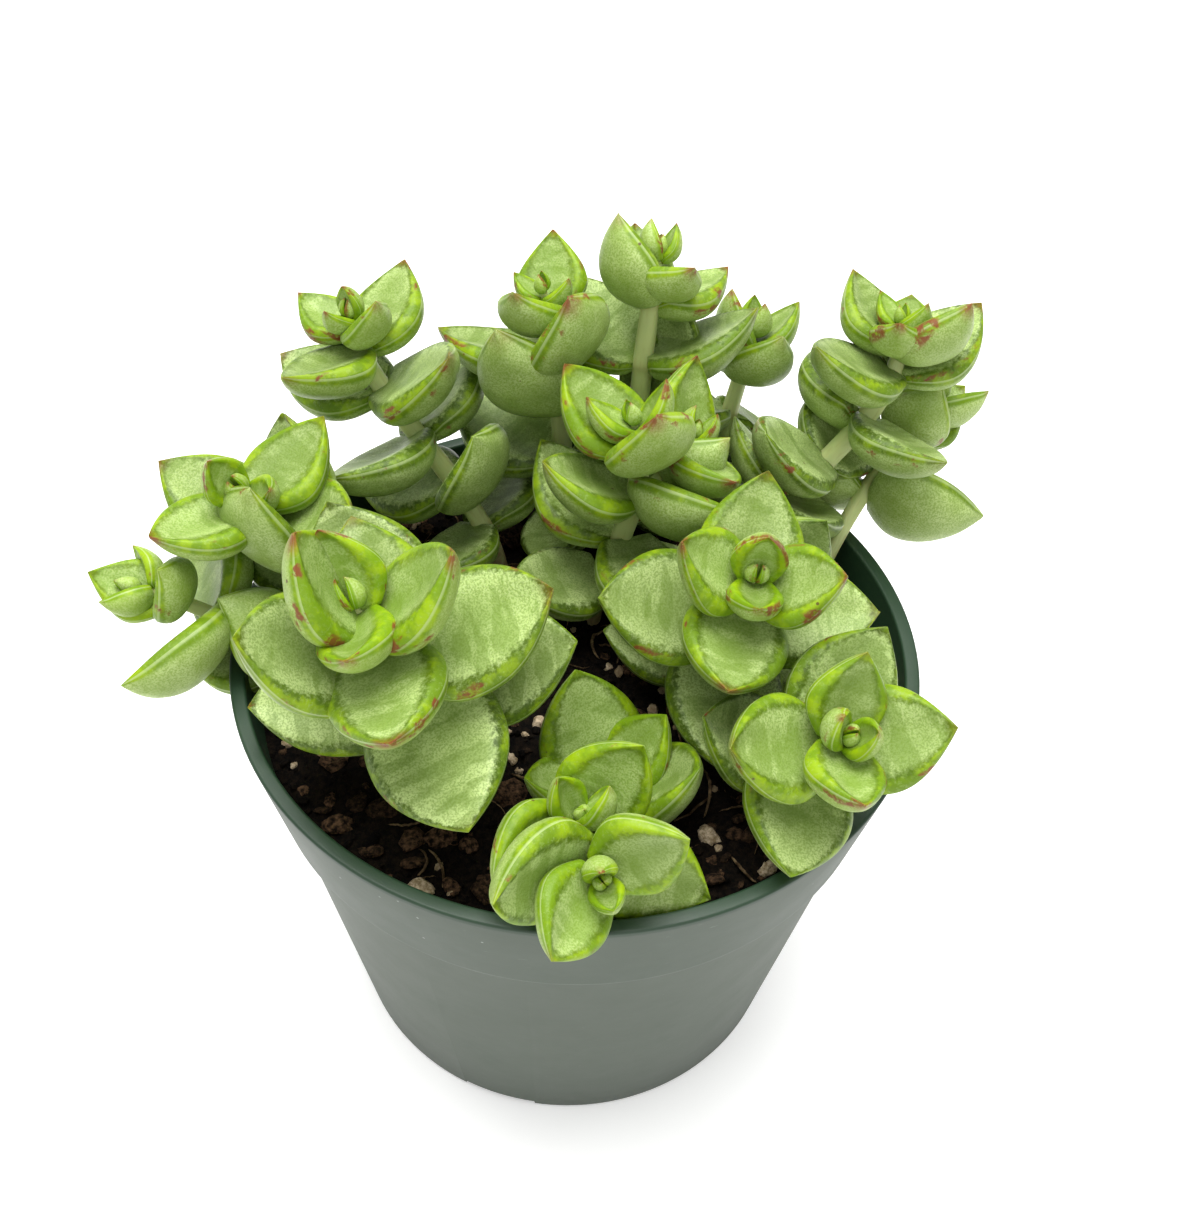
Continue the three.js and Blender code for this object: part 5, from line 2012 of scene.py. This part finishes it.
@dataclass(frozen=True)
class SoftLight:
    """A square soft light over the plant. Its places are in metres."""

    name: str
    place: tuple[float, float, float]
    side: float
    watts: float
    target: tuple[float, float, float] = (0.0, 0.0, 0.06)

    def hang(self) -> None:
        """Hangs the light so that it faces its target."""
        lamp = bpy.data.lights.new(self.name, "AREA")
        lamp.shape = "SQUARE"
        lamp.size = self.side
        lamp.energy = self.watts
        facing = (Vector(self.target) - Vector(self.place)).to_track_quat("-Z", "Y").to_matrix().to_4x4()
        placed(self.name, lamp).matrix_world = Matrix.Translation(Vector(self.place)) @ facing


@dataclass
class Studio:
    """The paper, the soft lights and the camera of the photograph."""

    focal_px: float = 1500.0
    long_side_px: float = 1227.0
    sensor_mm: float = 36.0
    clip: Pair = (0.01, 100.0)
    distance: float = 237.2
    elevation: float = 46.81
    roll: float = 2.15
    yaw: float = 0.83
    pitch: float = -1.0
    aim_height: float = 80.0
    floor_size: float = 12.0
    floor_cells: int = 8
    world_strength: float = 0.48
    lights: tuple[SoftLight, ...] = (
        SoftLight("top_light", (-0.10, 0.20, 1.5), 1.2, 39.0),
        SoftLight("front_light", (0.3, -1.6, 1.1), 1.4, 10.0),
    )

    def build(self) -> None:
        """Builds everything around the plant."""
        self.place_camera()
        self.lay_floor()
        for light in self.lights:
            light.hang()
        world = bpy.data.worlds.new("studio_air")
        world.use_nodes = True
        backdrop = world.node_tree.nodes["Background"]
        backdrop.inputs["Color"].default_value = WHITE
        backdrop.inputs["Strength"].default_value = self.world_strength
        bpy.context.scene.world = world
        bpy.context.scene.view_settings.view_transform = "Standard"

    def place_camera(self) -> None:
        """Sets the camera where the photograph was taken from."""
        slope = math.radians(self.elevation)
        look = math.radians(self.elevation + self.pitch)
        yaw = math.radians(self.yaw)
        roll = math.radians(self.roll)
        height = self.aim_height + self.distance * math.sin(slope)
        place = Vector((0.0, -self.distance * math.cos(slope), height))
        right = Vector((1.0, 0.0, 0.0))
        ahead = Vector((0.0, math.cos(look), -math.sin(look)))
        up = right.cross(ahead)
        side = right * math.cos(yaw) - ahead * math.sin(yaw)
        forward = ahead * math.cos(yaw) + right * math.sin(yaw)
        turned_side = side * math.cos(roll) + up * math.sin(roll)
        turned_up = up * math.cos(roll) - side * math.sin(roll)
        axes = Matrix((turned_side, turned_up, -forward)).transposed().to_4x4()
        lens = bpy.data.cameras.new("photo_camera")
        lens.sensor_width = self.sensor_mm
        lens.lens = self.sensor_mm * self.focal_px / self.long_side_px
        lens.clip_start, lens.clip_end = self.clip
        camera = placed("photo_camera", lens)
        camera.matrix_world = Matrix.Translation(place * MM) @ axes
        bpy.context.scene.camera = camera

    def lay_floor(self) -> None:
        """Lays the paper that the pot stands on."""
        body = bmesh.new()
        cells = self.floor_cells
        bmesh.ops.create_grid(body, x_segments=cells, y_segments=cells, size=self.floor_size / 2)
        new_piece("paper", finished_mesh("paper", body), FloorFinish().material(), False)


def main() -> None:
    """Builds the studio, the pot, the mix and the plant."""
    logging.basicConfig(level=logging.INFO, format="%(name)s %(message)s")
    Studio().build()
    effects = Effects()
    Pot().build(effects)
    Mix().build(effects)
    Plant().build(effects)


if __name__ == "__main__":
    main()
